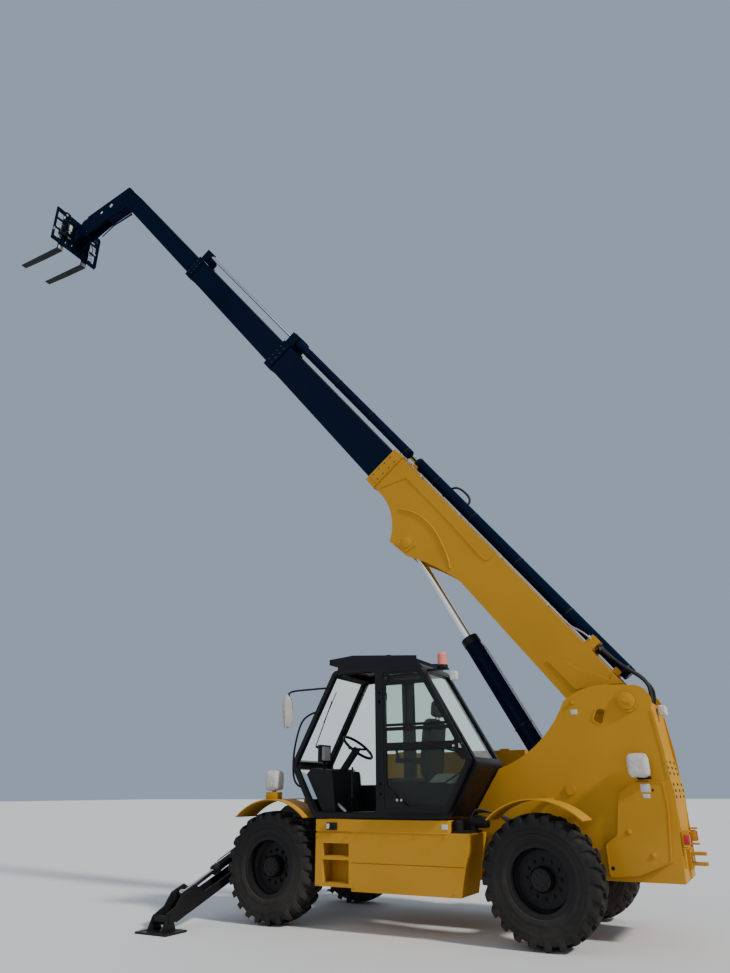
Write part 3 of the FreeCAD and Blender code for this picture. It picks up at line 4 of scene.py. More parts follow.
import bmesh
import bpy
from mathutils import Matrix, Vector, noise as field


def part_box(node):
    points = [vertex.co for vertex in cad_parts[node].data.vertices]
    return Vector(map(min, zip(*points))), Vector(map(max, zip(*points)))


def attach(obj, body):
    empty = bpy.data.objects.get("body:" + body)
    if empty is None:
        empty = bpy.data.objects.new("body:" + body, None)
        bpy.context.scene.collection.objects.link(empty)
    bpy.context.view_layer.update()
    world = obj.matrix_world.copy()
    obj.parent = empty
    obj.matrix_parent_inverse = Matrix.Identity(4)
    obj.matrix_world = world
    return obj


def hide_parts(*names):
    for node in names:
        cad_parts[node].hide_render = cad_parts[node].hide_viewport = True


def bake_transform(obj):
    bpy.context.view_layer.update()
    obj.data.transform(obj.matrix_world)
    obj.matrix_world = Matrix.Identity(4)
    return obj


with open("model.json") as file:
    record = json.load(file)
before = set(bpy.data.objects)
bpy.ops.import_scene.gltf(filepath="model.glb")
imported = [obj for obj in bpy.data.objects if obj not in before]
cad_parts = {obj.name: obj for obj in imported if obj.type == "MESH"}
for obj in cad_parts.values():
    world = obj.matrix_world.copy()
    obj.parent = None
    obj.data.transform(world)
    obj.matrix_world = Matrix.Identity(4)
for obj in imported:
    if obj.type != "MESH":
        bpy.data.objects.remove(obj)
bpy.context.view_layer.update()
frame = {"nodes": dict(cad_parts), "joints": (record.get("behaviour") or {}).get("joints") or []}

# Places taken from the frame: x runs from the rear axle, heights from the ground, metres
joints = {joint["name"]: joint for joint in frame["joints"]}
REAR_X = joints["spin_rear_left"]["pos_m"][0]
FRONT_X = joints["spin_front_left"]["pos_m"][0]
AXLE_Z = joints["spin_rear_left"]["pos_m"][2]


def joint_place(name):
    return Vector(joints[name]["pos_m"])


def joint_line(name):
    return Vector(joints[name]["axis"])


PIVOT = joint_place("boom_lift")
ALONG = joint_line("telescope_second")
UP = Vector((-ALONG.z, 0, ALONG.x))
TYRE_LOW, TYRE_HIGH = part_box("tyre_rear_left")
TYRE_R = (TYRE_HIGH.z - TYRE_LOW.z) / 2
TYRE_IN_Y = TYRE_LOW.y
TYRE_OUT_Y = TYRE_HIGH.y
BOTH = (1, -1)


def at(x, y, z):
    """A point given from the rear axle."""
    return Vector((REAR_X + x, y, z))


def on_boom(u, n, y=0.0):
    """A point u along the boom from its pivot, n square to it."""
    point = PIVOT + ALONG * u + UP * n
    return Vector((point.x, y, point.z))


def upright(x, z, y):
    """A point of a plate that stands fore and aft."""
    return at(x, y, z)


def point(place):
    """A tuple is a place from the rear axle, and a vector is a place as it is."""
    return at(*place) if isinstance(place, tuple) else place


# Shader groups

def fill(tree, made, **values):
    """Sets a node's inputs by name, each to a plain value or linked from another node's output."""
    for label, value in values.items():
        feed(tree, made.inputs[label.replace("_", " ")], value)


def feed(tree, socket, value):
    if hasattr(value, "links"):
        tree.links.new(value, socket)
    else:
        socket.default_value = value


def new_group(name, kind, inputs, outputs):
    """A node group with its sockets, each a label, a type and a first value if it has one."""
    tree = bpy.data.node_groups.new(name, kind)
    for way, sockets in (("INPUT", inputs), ("OUTPUT", outputs)):
        for label, socket_type, *value in sockets:
            socket = tree.interface.new_socket(label, in_out=way, socket_type="NodeSocket" + socket_type)
            if value:
                socket.default_value = value[0]
    return tree, tree.nodes.new("NodeGroupInput").outputs, tree.nodes.new("NodeGroupOutput").inputs


def calculated(tree, operation, a, b, clamp=False):
    made = tree.nodes.new("ShaderNodeMath")
    made.operation = operation
    made.use_clamp = clamp
    for socket, value in zip(made.inputs, (a, b)):
        feed(tree, socket, value)
    return made.outputs[0]


def scaled(tree, vector, factor):
    made = tree.nodes.new("ShaderNodeVectorMath")
    made.operation = "SCALE"
    tree.links.new(vector, made.inputs[0])
    tree.links.new(factor, made.inputs["Scale"])
    return made.outputs[0]


def noise(tree, vector, scale, detail=3.0):
    made = tree.nodes.new("ShaderNodeTexNoise")
    fill(tree, made, Vector=vector, Scale=scale, Detail=detail)
    return made.outputs["Fac"]


def stepped(tree, value, low, high):
    made = tree.nodes.new("ShaderNodeMapRange")
    made.interpolation_type = "SMOOTHSTEP"
    fill(tree, made, Value=value, From_Min=low, From_Max=high)
    return made.outputs["Result"]


def height_of(tree, vector):
    made = tree.nodes.new("ShaderNodeSeparateXYZ")
    tree.links.new(vector, made.inputs[0])
    return made.outputs["Z"]


def weathering_group():
    """Patchy tone, dust on faces that look up and low on the machine, and a fine surface height."""
    tree, given, out = new_group(
        "Weathered surface", "ShaderNodeTree",
        [("Colour", "Color", (0.5, 0.5, 0.5, 1)), ("Dust colour", "Color", (0.42, 0.37, 0.3, 1)),
         ("Patchiness", "Float", 0.06), ("Dust", "Float", 0.2), ("Low dust", "Float", 0.2), ("Roughness", "Float", 0.4),
         ("Grain scale", "Float", 400.0)],
        [("Colour", "Color"), ("Roughness", "Float"), ("Height", "Float")])

    def plus(a, b, clamp=False):
        return calculated(tree, "ADD", a, b, clamp)

    def times(a, b, clamp=False):
        return calculated(tree, "MULTIPLY", a, b, clamp)

    def off_middle(value):
        return calculated(tree, "SUBTRACT", value, 0.5)

    place = tree.nodes.new("ShaderNodeTexCoord").outputs
    broad = noise(tree, place["Object"], 1.7, 4.0)
    fine = noise(tree, place["Object"], 23.0, 6.0)
    grain = noise(tree, place["Object"], given["Grain scale"], 2.0)
    tone = plus(times(times(off_middle(broad), given["Patchiness"]), 4.0), 1.0)
    facing_up = stepped(tree, height_of(tree, place["Normal"]), 0.35, 1.0)
    low = stepped(tree, height_of(tree, place["Object"]), 1.25, 0.1)
    patch = stepped(tree, plus(broad, times(fine, 0.5)), 0.45, 1.0)
    settled = plus(times(facing_up, given["Dust"]), times(low, given["Low dust"]))
    dust = times(settled, plus(patch, 0.35), True)
    mix = tree.nodes.new("ShaderNodeMix")
    mix.data_type = "RGBA"
    for index, value in ((0, dust), (6, scaled(tree, given["Colour"], tone)), (7, given["Dust colour"])):
        tree.links.new(value, mix.inputs[index])
    rough = plus(given["Roughness"], times(dust, 0.35))
    rough = plus(rough, times(off_middle(fine), 0.12), True)
    height = plus(times(grain, 0.4), times(dust, 0.6))
    for label, value in (("Colour", mix.outputs[2]), ("Roughness", rough), ("Height", height)):
        tree.links.new(value, out[label])
    return tree


WEATHERING = weathering_group()

# finish: colour, roughness, metallic, coat, patchiness, dust, low dust, grain scale, bump strength, slot
FINISHES = {
    "ochre paint": ((0.48, 0.238, 0.018), 0.42, 0.0, 0.1, 0.06, 0.02, 0.04, 500.0, 0.03, "yellow"),
    "blue-black paint": ((0.002, 0.007, 0.022), 0.42, 0.0, 0.05, 0.1, 0.01, 0.02, 500.0, 0.03, "navy"),
    "black paint": ((0.004, 0.004, 0.006), 0.42, 0.0, 0.0, 0.1, 0.01, 0.02, 450.0, 0.04, "dark"),
    "dark plated bolt": ((0.1, 0.1, 0.11), 0.45, 1.0, 0.0, 0.1, 0.02, 0.05, 600.0, 0.05, "dark"),
    "black moulding": ((0.007, 0.007, 0.008), 0.58, 0.0, 0.0, 0.1, 0.02, 0.03, 700.0, 0.08, "plastic"),
    "chromed rod": ((0.78, 0.79, 0.8), 0.1, 1.0, 0.0, 0.03, 0.0, 0.05, 900.0, 0.005, "rod"),
    "tyre rubber": ((0.008, 0.008, 0.009), 0.8, 0.0, 0.0, 0.15, 0.04, 0.05, 260.0, 0.2, "tyre"),
    "hose rubber": ((0.016, 0.016, 0.017), 0.55, 0.0, 0.0, 0.12, 0.15, 0.1, 800.0, 0.1, "hose"),
    "bare steel": ((0.42, 0.41, 0.39), 0.38, 1.0, 0.0, 0.12, 0.08, 0.1, 600.0, 0.05, "rod"),
    "engine iron": ((0.09, 0.09, 0.1), 0.62, 0.3, 0.0, 0.15, 0.3, 0.2, 300.0, 0.15, "iron"),
    "seat cloth": ((0.03, 0.031, 0.034), 0.92, 0.0, 0.0, 0.1, 0.05, 0.0, 1500.0, 0.3, "seat"),
    "pale film": ((0.46, 0.45, 0.42), 0.3, 0.0, 0.3, 0.45, 0.1, 0.1, 90.0, 0.6, "lamp"),
    "blank plate": ((0.52, 0.52, 0.5), 0.4, 0.0, 0.2, 0.04, 0.05, 0.1, 600.0, 0.02, "lamp"),
    "red lens": ((0.45, 0.015, 0.02), 0.15, 0.0, 0.6, 0.05, 0.0, 0.0, 300.0, 0.02, "lamp"),
    "beacon lens": ((0.74, 0.24, 0.19), 0.22, 0.0, 0.5, 0.05, 0.0, 0.0, 300.0, 0.02, "lamp"),
    "cab lining": ((0.3, 0.28, 0.24), 0.7, 0.0, 0.0, 0.1, 0.1, 0.0, 600.0, 0.1, "plastic"),
    "screen glass": ((0.03, 0.035, 0.045), 0.08, 0.0, 0.8, 0.02, 0.0, 0.0, 300.0, 0.0, "plastic"),
}


def new_material(name):
    made = bpy.data.materials.new(name)
    made.use_nodes = True
    return made, made.node_tree, made.node_tree.nodes["Principled BSDF"]


def finish_material(name):
    colour, rough, metal, coat, patchy, dust, low, grain, bump, _ = FINISHES[name]
    made, tree, shader = new_material(name)
    group = tree.nodes.new("ShaderNodeGroup")
    group.node_tree = WEATHERING
    fill(tree, group, Colour=(*colour, 1), Patchiness=patchy, Dust=dust, Low_dust=low, Roughness=rough,
         Grain_scale=grain)
    relief = tree.nodes.new("ShaderNodeBump")
    fill(tree, relief, Strength=bump, Distance=0.01, Height=group.outputs["Height"])
    fill(tree, shader, Metallic=metal, Coat_Weight=coat, Coat_Roughness=0.12,
         Specular_IOR_Level=0.5 if metal else 0.0 if coat else 0.2, Base_Color=group.outputs["Colour"],
         Roughness=group.outputs["Roughness"], Normal=relief.outputs["Normal"])
    return made


def glass_material():
    made, tree, shader = new_material("cab glass")
    place = tree.nodes.new("ShaderNodeTexCoord").outputs["Object"]
    smear = stepped(tree, noise(tree, place, 6.0, 5.0), 0.3, 1.0)
    rough = calculated(tree, "ADD", calculated(tree, "MULTIPLY", smear, 0.03), 0.01)
    fill(tree, shader, Base_Color=(0.8, 0.88, 0.84, 1), Transmission_Weight=1.0, IOR=1.18, Roughness=rough)
    return made


materials = {name: finish_material(name) for name in FINISHES}
materials["cab glass"] = glass_material()

# Solid nodes and the finish each one gets; a name that ends in _ stands for all that begin with it
NODE_FINISHES = {
    "ochre paint": "chassis_frame boom_tower counterweight side_tank step_box engine_hood engine_lid fenders "
                   "boom_base lamps tow_hitch",
    "blue-black paint": "boom_second boom_third boom_fourth carriage telescope_barrel upper_barrel lift_barrel "
                        "tilt_barrel",
    "black paint": "forks cab_frame cab_door cab_roof cab_floor front_axle rear_axle knuckle_ rim_ leg_ foot_ "
                   "jack_barrel_",
    "black moulding": "console mirrors hydraulic_unit",
    "chromed rod": "telescope_rod upper_rod tilt_rod lift_rod jack_rod_",
    "tyre rubber": "tyre_",
    "hose rubber": "pivot_hoses",
    "engine iron": "engine_block",
    "seat cloth": "seat",
    "cab glass": "cab_glass door_glass",
}


def dress_nodes():
    for name, thing in frame["nodes"].items():
        thing.data.materials.clear()
        for finish, given in NODE_FINISHES.items():
            if any(name == known or known[-1] == "_" and name.startswith(known) for known in given.split()):
                thing.data.materials.append(materials[finish])


dress_nodes()


# Making pieces

def new_object(name, data):
    thing = bpy.data.objects.new(name, data)
    bpy.context.scene.collection.objects.link(thing)
    return thing


def evaluated(holder):
    """The mesh a curve or a modifier makes; its holder is taken away."""
    bpy.context.view_layer.update()
    mesh = bpy.data.meshes.new_from_object(holder.evaluated_get(bpy.context.evaluated_depsgraph_get()))
    bpy.data.objects.remove(holder)
    return mesh


def mesh_of(name, build):
    shape = bmesh.new()
    build(shape)
    mesh = bpy.data.meshes.new(name)
    shape.to_mesh(mesh)
    shape.free()
    return mesh


def placed(name, build, finish, body, smooth, both=False):
    """A piece whose mesh comes from build(shape), with its finish and the body it rides on."""
    mesh = mesh_of(name, both_sides(build) if both else build)
    mesh.materials.append(materials[finish])
    thing = new_object(name, mesh)
    mesh.shade_smooth()
    mesh.set_sharp_from_angle(angle=math.radians(smooth))
    if body:
        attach(thing, body)
    return thing


def piece(finish, body, smooth, both=False):
    """Turns a function that builds a shape into the piece of the function's name."""
    return lambda build: placed(build.__name__, build, finish, body, smooth, both)


def both_sides(build):
    """Builds on the machine's left, then again on its right."""
    def run(shape):
        build(shape)
        copy = bmesh.ops.duplicate(shape, geom=shape.verts[:] + shape.edges[:] + shape.faces[:])["geom"]
        verts = [thing for thing in copy if isinstance(thing, bmesh.types.BMVert)]
        faces = [thing for thing in copy if isinstance(thing, bmesh.types.BMFace)]
        bmesh.ops.scale(shape, vec=(1, -1, 1), verts=verts)
        bmesh.ops.reverse_faces(shape, faces=faces)
    return run


def bevelled(shape, edges, bevel, segments=2):
    if bevel:
        bmesh.ops.bevel(shape, geom=list(edges), offset=bevel, segments=segments, profile=0.5, affect="EDGES")


def block(shape, low, high, bevel=0.0):
    """A box between two corners, with bevelled edges."""
    low, high = point(low), point(high)
    size = high - low
    spot = Matrix.Translation((low + high) / 2) @ Matrix.Diagonal((abs(size.x), abs(size.y), abs(size.z), 1))
    made = bmesh.ops.create_cube(shape, size=1.0, matrix=spot)
    bevelled(shape, {edge for vert in made["verts"] for edge in vert.link_edges}, bevel)


def blocks(shape, bevel, *rows):
    """Boxes that share a bevel, each given by the six numbers of its two corners."""
    for row in rows:
        block(shape, row[:3], row[3:], bevel)


def turned(line):
    return Vector((0, 0, 1)).rotation_difference(line).to_matrix()


def rod(shape, start, end, radius, end_radius=None, sides=24, bevel=0.0):
    """A round bar from start to end."""
    start, end = point(start), point(end)
    line = end - start
    spot = Matrix.Translation((start + end) / 2) @ turned(line).to_4x4()
    made = bmesh.ops.create_cone(shape, cap_ends=True, segments=sides, radius1=radius,
                                 radius2=radius if end_radius is None else end_radius, depth=line.length, matrix=spot)
    if bevel:
        verts = set(made["verts"])
        bevelled(shape, [e for e in shape.edges if e.verts[0] in verts and e.verts[1] in verts
                         and len(e.link_faces) == 2 and any(len(f.verts) > 4 for f in e.link_faces)], bevel)


def post(shape, x, y, low, high, radius, *more, **other):
    """An upright bar between two heights."""
    rod(shape, (x, y, low), (x, y, high), radius, *more, **other)


def bridged(shape, rows, closed=True):
    """Faces from each row of points to the next, and from the last to the first if closed."""
    faces = [shape.faces.new(corners) for near, far in zip(rows, rows[1:] + rows[:closed])
             for corners in zip(near, near[1:] + near[:1], far[1:] + far[:1], far)]
    bmesh.ops.recalc_face_normals(shape, faces=faces)


def ring(shape, start, end, outer, inner, sides=36):
    """A collar round a bar, open in the middle."""
    turn = turned(end - start)
    spokes = [turn @ Vector((math.cos(2 * math.pi * i / sides), math.sin(2 * math.pi * i / sides), 0))
              for i in range(sides)]
    bridged(shape, [[shape.verts.new(centre + spoke * radius) for spoke in spokes]
                    for centre, radius in ((start, outer), (end, outer), (end, inner), (start, inner))])


def pipe(shape, points, radius, order=3):
    """A round tube that follows a smooth line through its control points."""
    curve = bpy.data.curves.new("line", "CURVE")
    curve.dimensions = "3D"
    curve.bevel_depth = radius
    curve.bevel_resolution = 6
    curve.use_fill_caps = True
    line = curve.splines.new("NURBS")
    line.points.add(len(points) - 1)
    for spot, place in zip(line.points, points):
        spot.co = (*point(place), 1)
    line.use_endpoint_u = True
    line.order_u = order
    line.resolution_u = 8
    mesh = evaluated(new_object("line", curve))
    shape.from_mesh(mesh)
    bpy.data.meshes.remove(mesh)


def pipes(name, runs, radius, finish, body, order=3):
    """Several tubes in one piece."""
    def lay(shape):
        for points in runs:
            pipe(shape, points, radius, order)
    return placed(name, lay, finish, body, 60)


def repeat_tree():
    """Copies of an item, each moved by a step and turned by an angle from the one before."""
    tree, given, out = new_group(
        "Repeated item", "GeometryNodeTree",
        [("Item", "Object"), ("Count", "Int"), ("Start", "Vector"), ("Step", "Vector"), ("Turn", "Vector"),
         ("Finish", "Material")], [("Geometry", "Geometry")])
    line, item, copies, index, angle, whole, finish = (tree.nodes.new(kind) for kind in (
        "GeometryNodeMeshLine", "GeometryNodeObjectInfo", "GeometryNodeInstanceOnPoints", "GeometryNodeInputIndex",
        "ShaderNodeVectorMath", "GeometryNodeRealizeInstances", "GeometryNodeSetMaterial"))
    line.mode = "OFFSET"
    angle.operation = "SCALE"
    fill(tree, line, Count=given["Count"], Start_Location=given["Start"], Offset=given["Step"])
    fill(tree, item, Object=given["Item"])
    tree.links.new(given["Turn"], angle.inputs[0])
    fill(tree, angle, Scale=index.outputs[0])
    fill(tree, copies, Points=line.outputs["Mesh"], Instance=item.outputs["Geometry"], Rotation=angle.outputs[0])
    fill(tree, whole, Geometry=copies.outputs[0])
    fill(tree, finish, Geometry=whole.outputs[0], Material=given["Finish"])
    tree.links.new(finish.outputs[0], out[0])
    return tree


REPEAT = repeat_tree()


def repeated_mesh(item, count, start, turn, finish="black paint"):
    """A plain mesh of count copies of the item mesh, turned about the start."""
    source = new_object("item", item)
    holder = new_object("repeated", bpy.data.meshes.new("repeated"))
    change = holder.modifiers.new("Repeated item", "NODES")
    change.node_group = REPEAT
    values = {"Item": source, "Count": count, "Start": Vector(start), "Step": Vector(), "Turn": Vector((0, turn, 0)),
              "Finish": materials[finish]}
    for socket in REPEAT.interface.items_tree:
        if socket.in_out == "INPUT":
            change[socket.identifier] = values[socket.name]
    mesh = evaluated(holder)
    bpy.data.objects.remove(source)
    return mesh


def gathered(name, meshes, finish, body, smooth, flip=False):
    """One piece from several meshes; flip mirrors it to the machine's right side."""
    def join(shape):
        for mesh in meshes:
            shape.from_mesh(mesh)
        if flip:
            bmesh.ops.scale(shape, vec=(1, -1, 1), verts=shape.verts)
            bmesh.ops.reverse_faces(shape, faces=shape.faces)
    return placed(name, join, finish, body, smooth)


def spun(shape, profile, centre, steps):
    """A closed ring made by turning (radius, offset) points about an axis along Y."""
    rings = []
    for i in range(steps):
        angle = 2 * math.pi * i / steps
        rings.append([shape.verts.new((centre.x + r * math.sin(angle), centre.y + y, centre.z + r * math.cos(angle)))
                      for r, y in profile])
    for near, far in zip(rings, rings[1:] + rings[:1]):
        for corners in zip(near, far, far[1:] + far[:1], near[1:] + near[:1]):
            shape.faces.new(corners)


# Wheels

LUG_COUNT = 24
LUG_PITCH = 2 * math.pi / LUG_COUNT
LUG_DEPTH = 0.032
LUG_SWEEP = math.radians(7.0)
LUG_START = math.radians(-184.26)
TYRE_HALF = (TYRE_OUT_Y - TYRE_IN_Y) / 2
HUB_FACE = 0.905
NUT_CIRCLE = 0.155
HUB_CIRCLE = 0.062


def tyre_profile(half):
    """Half round of the carcass: radius from the axle and distance from the middle plane."""
    crown = TYRE_R - LUG_DEPTH
    side = [(0.272, half - 0.03), (0.292, half - 0.028), (0.3, half - 0.012), (0.335, half - 0.004),
            (0.345, half - 0.008), (0.4, half), (0.455, half - 0.004), (0.487, half - 0.026), (crown, half - 0.075)]
    return side + [(crown + 0.004, 0.04), (crown + 0.004, -0.04)] + [(r, -y) for r, y in reversed(side)]


def lug_item(side):
    """One tread bar from the middle of the crown round the shoulder, on the side given by its sign."""
    half = TYRE_HALF
    # distance across, lower radius, upper radius, half width
    stations = [(0.006, 0.49, TYRE_R - 0.0005, 0.023), (0.03, 0.49, TYRE_R - 0.0005, 0.026),
                (0.105, 0.488, TYRE_R - 0.003, 0.028), (half - 0.024, 0.478, TYRE_R - 0.01, 0.03),
                (half - 0.01, 0.462, 0.508, 0.03), (half - 0.002, 0.44, 0.468, 0.027),
                (half - 0.004, 0.425, 0.438, 0.022)]

    def build(shape):
        rows = []
        for across, low, high, wide in stations:
            row = []
            sweep = LUG_SWEEP * (across - 0.006) / (half - 0.024)
            for radius, extra in ((low, 0.006), (high - 0.004, 0.002), (high, -0.004)):
                for edge in (-1, 1):
                    angle = sweep + edge * (wide + extra) / TYRE_R
                    row.append(shape.verts.new((radius * math.sin(angle), side * across, radius * math.cos(angle))))
            rows.append([row[i] for i in (0, 1, 3, 5, 4, 2)])
        bridged(shape, rows, False)
        for row in (rows[0], rows[-1]):
            shape.faces.new(row)
        bmesh.ops.recalc_face_normals(shape, faces=shape.faces)
    return mesh_of("item", build)


def tyre(corner, x, side):
    centre = Vector((x, side * (TYRE_OUT_Y + TYRE_IN_Y) / 2, AXLE_Z))

    def carcass(shape):
        spun(shape, tyre_profile(TYRE_HALF), centre, 112)
        for radius, offset in ((0.318, TYRE_HALF - 0.0075), (0.372, TYRE_HALF - 0.003), (0.414, TYRE_HALF - 0.001)):
            for edge in BOTH:
                spun(shape, [(radius + out, edge * (offset + rise)) for out, rise in (
                    (0, -0.006), (0.003, 0.002), (0.008, 0.002), (0.011, -0.006))], centre, 80)
        bmesh.ops.recalc_face_normals(shape, faces=shape.faces)
    parts = [mesh_of("item", carcass)]
    for edge, phase in ((1, 0.0), (-1, 0.5)):
        item = lug_item(edge * side)
        item.transform(Matrix.Rotation(LUG_START - phase * LUG_PITCH, 4, "Y"))
        parts.append(repeated_mesh(item, LUG_COUNT, centre, LUG_PITCH, "tyre rubber"))
    tread = gathered("tread_" + corner, parts, "tyre rubber", "wheel_" + corner, 32)
    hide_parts("tyre_" + corner)


def hub_rod(shape, low, high, circle, radius, sides):
    rod(shape, Vector((0, HUB_FACE + low, circle)), Vector((0, HUB_FACE + high, circle)), radius, sides=sides)


def wheel_nuts(corner, x, side):
    def nut(shape):
        hub_rod(shape, -0.001, 0.022, NUT_CIRCLE, 0.017, 6)
        hub_rod(shape, 0.02, 0.034, NUT_CIRCLE, 0.009, 10)

    def hub_bolt(shape):
        hub_rod(shape, 0.094, 0.104, HUB_CIRCLE, 0.01, 6)
    parts = [repeated_mesh(mesh_of("item", build), count, (x, 0, AXLE_Z), 2 * math.pi / count)
             for build, count in ((nut, 12), (hub_bolt, 8))]
    gathered("nuts_" + corner, parts, "black paint", "wheel_" + corner, 30, flip=side < 0)


for corner, end_x, side in (("front_left", FRONT_X, 1), ("front_right", FRONT_X, -1), ("rear_left", REAR_X, 1),
                            ("rear_right", REAR_X, -1)):
    tyre(corner, end_x, side)
    wheel_nuts(corner, end_x, side)


# Shapes used by many pieces

def plate(shape, outline, low, high, bevel=0.0, place=upright):
    """A flat plate from (a, b) points, between two distances square to it."""
    near = [shape.verts.new(place(a, b, low)) for a, b in outline]
    far = [shape.verts.new(place(a, b, high)) for a, b in outline]
    faces = [shape.faces.new(near), shape.faces.new(far[::-1])]
    for corners in zip(near[1:] + near[:1], near, far, far[1:] + far[:1]):
        faces.append(shape.faces.new(corners))
    bmesh.ops.recalc_face_normals(shape, faces=faces)
    bevelled(shape, {edge for face in faces[:2] for edge in face.edges}, bevel, 1)


def rim(shape, outer, inner, low, high):
    """A flat rim between two outlines with the same number of points."""
    bridged(shape, [[shape.verts.new(upright(a, b, level)) for a, b in line]
                    for line, level in ((outer, low), (outer, high), (inner, high), (inner, low))])


def rounded(points, radius, steps=4):
    """The outline with its corners turned to arcs."""
    result = []
    for i, corner in enumerate(points):
        corner = Vector(corner)
        before = (Vector(points[i - 1]) - corner).normalized()
        after = (Vector(points[(i + 1) % len(points)]) - corner).normalized()
        half = before.angle(after) / 2
        reach = radius / math.tan(half)
        start, end = corner + before * reach, corner + after * reach
        centre = corner + (before + after).normalized() * radius / math.sin(half)
        for step in range(steps + 1):
            line = (start - centre).lerp(end - centre, step / steps)
            result.append(tuple(centre + line.normalized() * radius))
    return result


def disc(shape, a, b, low, high, radius, sides=20, bevel=0.0, place=upright):
    """A round boss standing on a plate."""
    rod(shape, place(a, b, low), place(a, b, high), radius, sides=sides, bevel=bevel)


def bolt(shape, a, b, low, radius=0.011, place=upright):
    """A hexagon head with its washer on a plate; low is the plate's face and its sign the side it looks to."""
    side = 1 if low >= 0 else -1
    disc(shape, a, b, low - side * 0.001, low + side * 0.003, radius * 1.45, 14, place=place)
    disc(shape, a, b, low + side * 0.002, low + side * 0.012, radius, 6, place=place)


def swollen(p, power):
    return p / (abs(p.x) ** power + abs(p.y) ** power + abs(p.z) ** power) ** (1 / power)


def wrapped(shape, low, high, seed, power=5):
    """A lamp under loose film: a rounded block with uneven folds."""
    low, high = point(low), point(high)
    middle, half = (low + high) / 2, (high - low) / 2
    shift = Vector((seed, seed, seed))
    for vert in bmesh.ops.create_icosphere(shape, subdivisions=4, radius=1.0)["verts"]:
        p = vert.co
        fold = 1 - 0.16 * abs(field.noise(p * 2.3 + shift)) - 0.12 * abs(field.noise(p * 6.0 - shift))
        vert.co = middle + swollen(p, power) * fold * half


def cushion(shape, low, high, power, turn):
    """A stuffed block: flat sides that swell and round into each other."""
    low, high = point(low), point(high)
    middle, half = (low + high) / 2, (high - low) / 2
    bmesh.ops.create_cube(shape, size=2.0)
    bmesh.ops.subdivide_edges(shape, edges=shape.edges[:], cuts=13, use_grid_fill=True)
    for vert in shape.verts:
        p = swollen(vert.co, power)
        groove = 1 - 0.05 * math.exp(-((abs(p.y) - 0.52) / 0.045) ** 2)
        spot = Vector((p.x * half.x * groove, p.y * half.y, p.z * half.z * groove))
        vert.co = middle + (turn @ spot if turn else spot)


def drawn_in(points, gap):
    """An outline moved inwards by gap."""
    sides = list(zip(points, points[1:] + points[:1]))
    turn = 1.0 if sum(ax * bz - bx * az for (ax, az), (bx, bz) in sides) > 0 else -1.0
    lines = []
    for (ax, az), (bx, bz) in sides:
        length = math.hypot(bx - ax, bz - az)
        nx, nz = -turn * (bz - az) / length, turn * (bx - ax) / length
        lines.append((nx, nz, nx * ax + nz * az + gap))
    result = []
    for (a1, b1, c1), (a2, b2, c2) in zip(lines[-1:] + lines[:-1], lines):
        det = a1 * b2 - a2 * b1
        result.append(((c1 * b2 - c2 * b1) / det, (a1 * c2 - a2 * c1) / det))
    return result


# Boom tower and rear wall

TOWER_FACE = 0.42
COVER_FACE = 0.45
COVER_LINE = [(-0.8, 1.331), (-1.07, 1.328), (-1.082, 1.113), (-1.037, 0.668), (-0.746, 0.552), (-0.487, 0.531),
              (-0.483, 0.799), (-0.599, 0.88), (-0.656, 1.225)]


@piece("ochre paint", "chassis", 40, True)
def tower_rims(shape):
    face = TOWER_FACE
    disc(shape, -0.85, 2.06, face + 0.028, face + 0.036, 0.082, 36, 0.003)
    disc(shape, -0.85, 2.06, face + 0.034, face + 0.04, 0.026, 20)
    disc(shape, -0.21, 0.937, face + 0.011, face + 0.02, 0.046, 28, 0.003)
    disc(shape, -0.322, 2.075, face - 0.001, face + 0.018, 0.022, 20, 0.003)
    rim(shape, rounded([(-0.655, 2.012), (-0.545, 2.012), (-0.488, 1.9), (-0.592, 1.838)], 0.035),
        rounded([(-0.64, 2.0), (-0.56, 2.0), (-0.505, 1.9), (-0.59, 1.85)], 0.025), face, face + 0.006)
    plate(shape, [(-1.105, 1.36), (-1.09, 1.62), (-1.05, 1.96), (-1.075, 1.96), (-1.118, 1.6), (-1.132, 1.36)],
          face - 0.002, face + 0.005)
    block(shape, (-0.955, face, 1.338), (-0.9, face + 0.03, 1.388), 0.004)


@piece("ochre paint", "chassis", 40, True)
def cover_rims(shape):
    rim(shape, rounded(drawn_in(COVER_LINE, 0.001), 0.026), rounded(drawn_in(COVER_LINE, 0.011), 0.018),
        COVER_FACE - 0.001, COVER_FACE + 0.004)


@piece("ochre paint", "chassis", 30, True)
def tower_bolts(shape):
    for x, z in ((-0.706, 0.907), (-0.89, 0.718)):
        disc(shape, x, z, COVER_FACE - 0.001, COVER_FACE + 0.004, 0.026, 28, 0.001)
        disc(shape, x, z, COVER_FACE + 0.003, COVER_FACE + 0.01, 0.017, 28, 0.003)
    plate(shape, [(-0.9, 2.045), (-0.81, 2.085), (-0.8, 2.062), (-0.89, 2.022)], TOWER_FACE + 0.035,
          TOWER_FACE + 0.046, 0.002)


@piece("black moulding", "chassis", 40, True)
def tower_holes(shape):
    disc(shape, -0.523, 0.606, COVER_FACE - 0.001, COVER_FACE + 0.0015, 0.017)
    disc(shape, -0.969, 1.259, COVER_FACE - 0.001, COVER_FACE + 0.0015, 0.011)


def rear_wall_x(z):
    return -1.12 - (z - 0.5) * 0.04 if z < 1.25 else -1.15 + (z - 1.25) * 0.1714


@piece("black moulding", "chassis", 40)
def rear_wall_holes(shape):
    for top in (1.505, 1.305):
        for row in range(3):
            z = top - row * 0.052
            x = rear_wall_x(z)
            for y in (0.3, 0.0, -0.3):
                block(shape, (x - 0.002, y - 0.045, z - 0.012), (x + 0.004, y + 0.045, z + 0.012), 0.001)


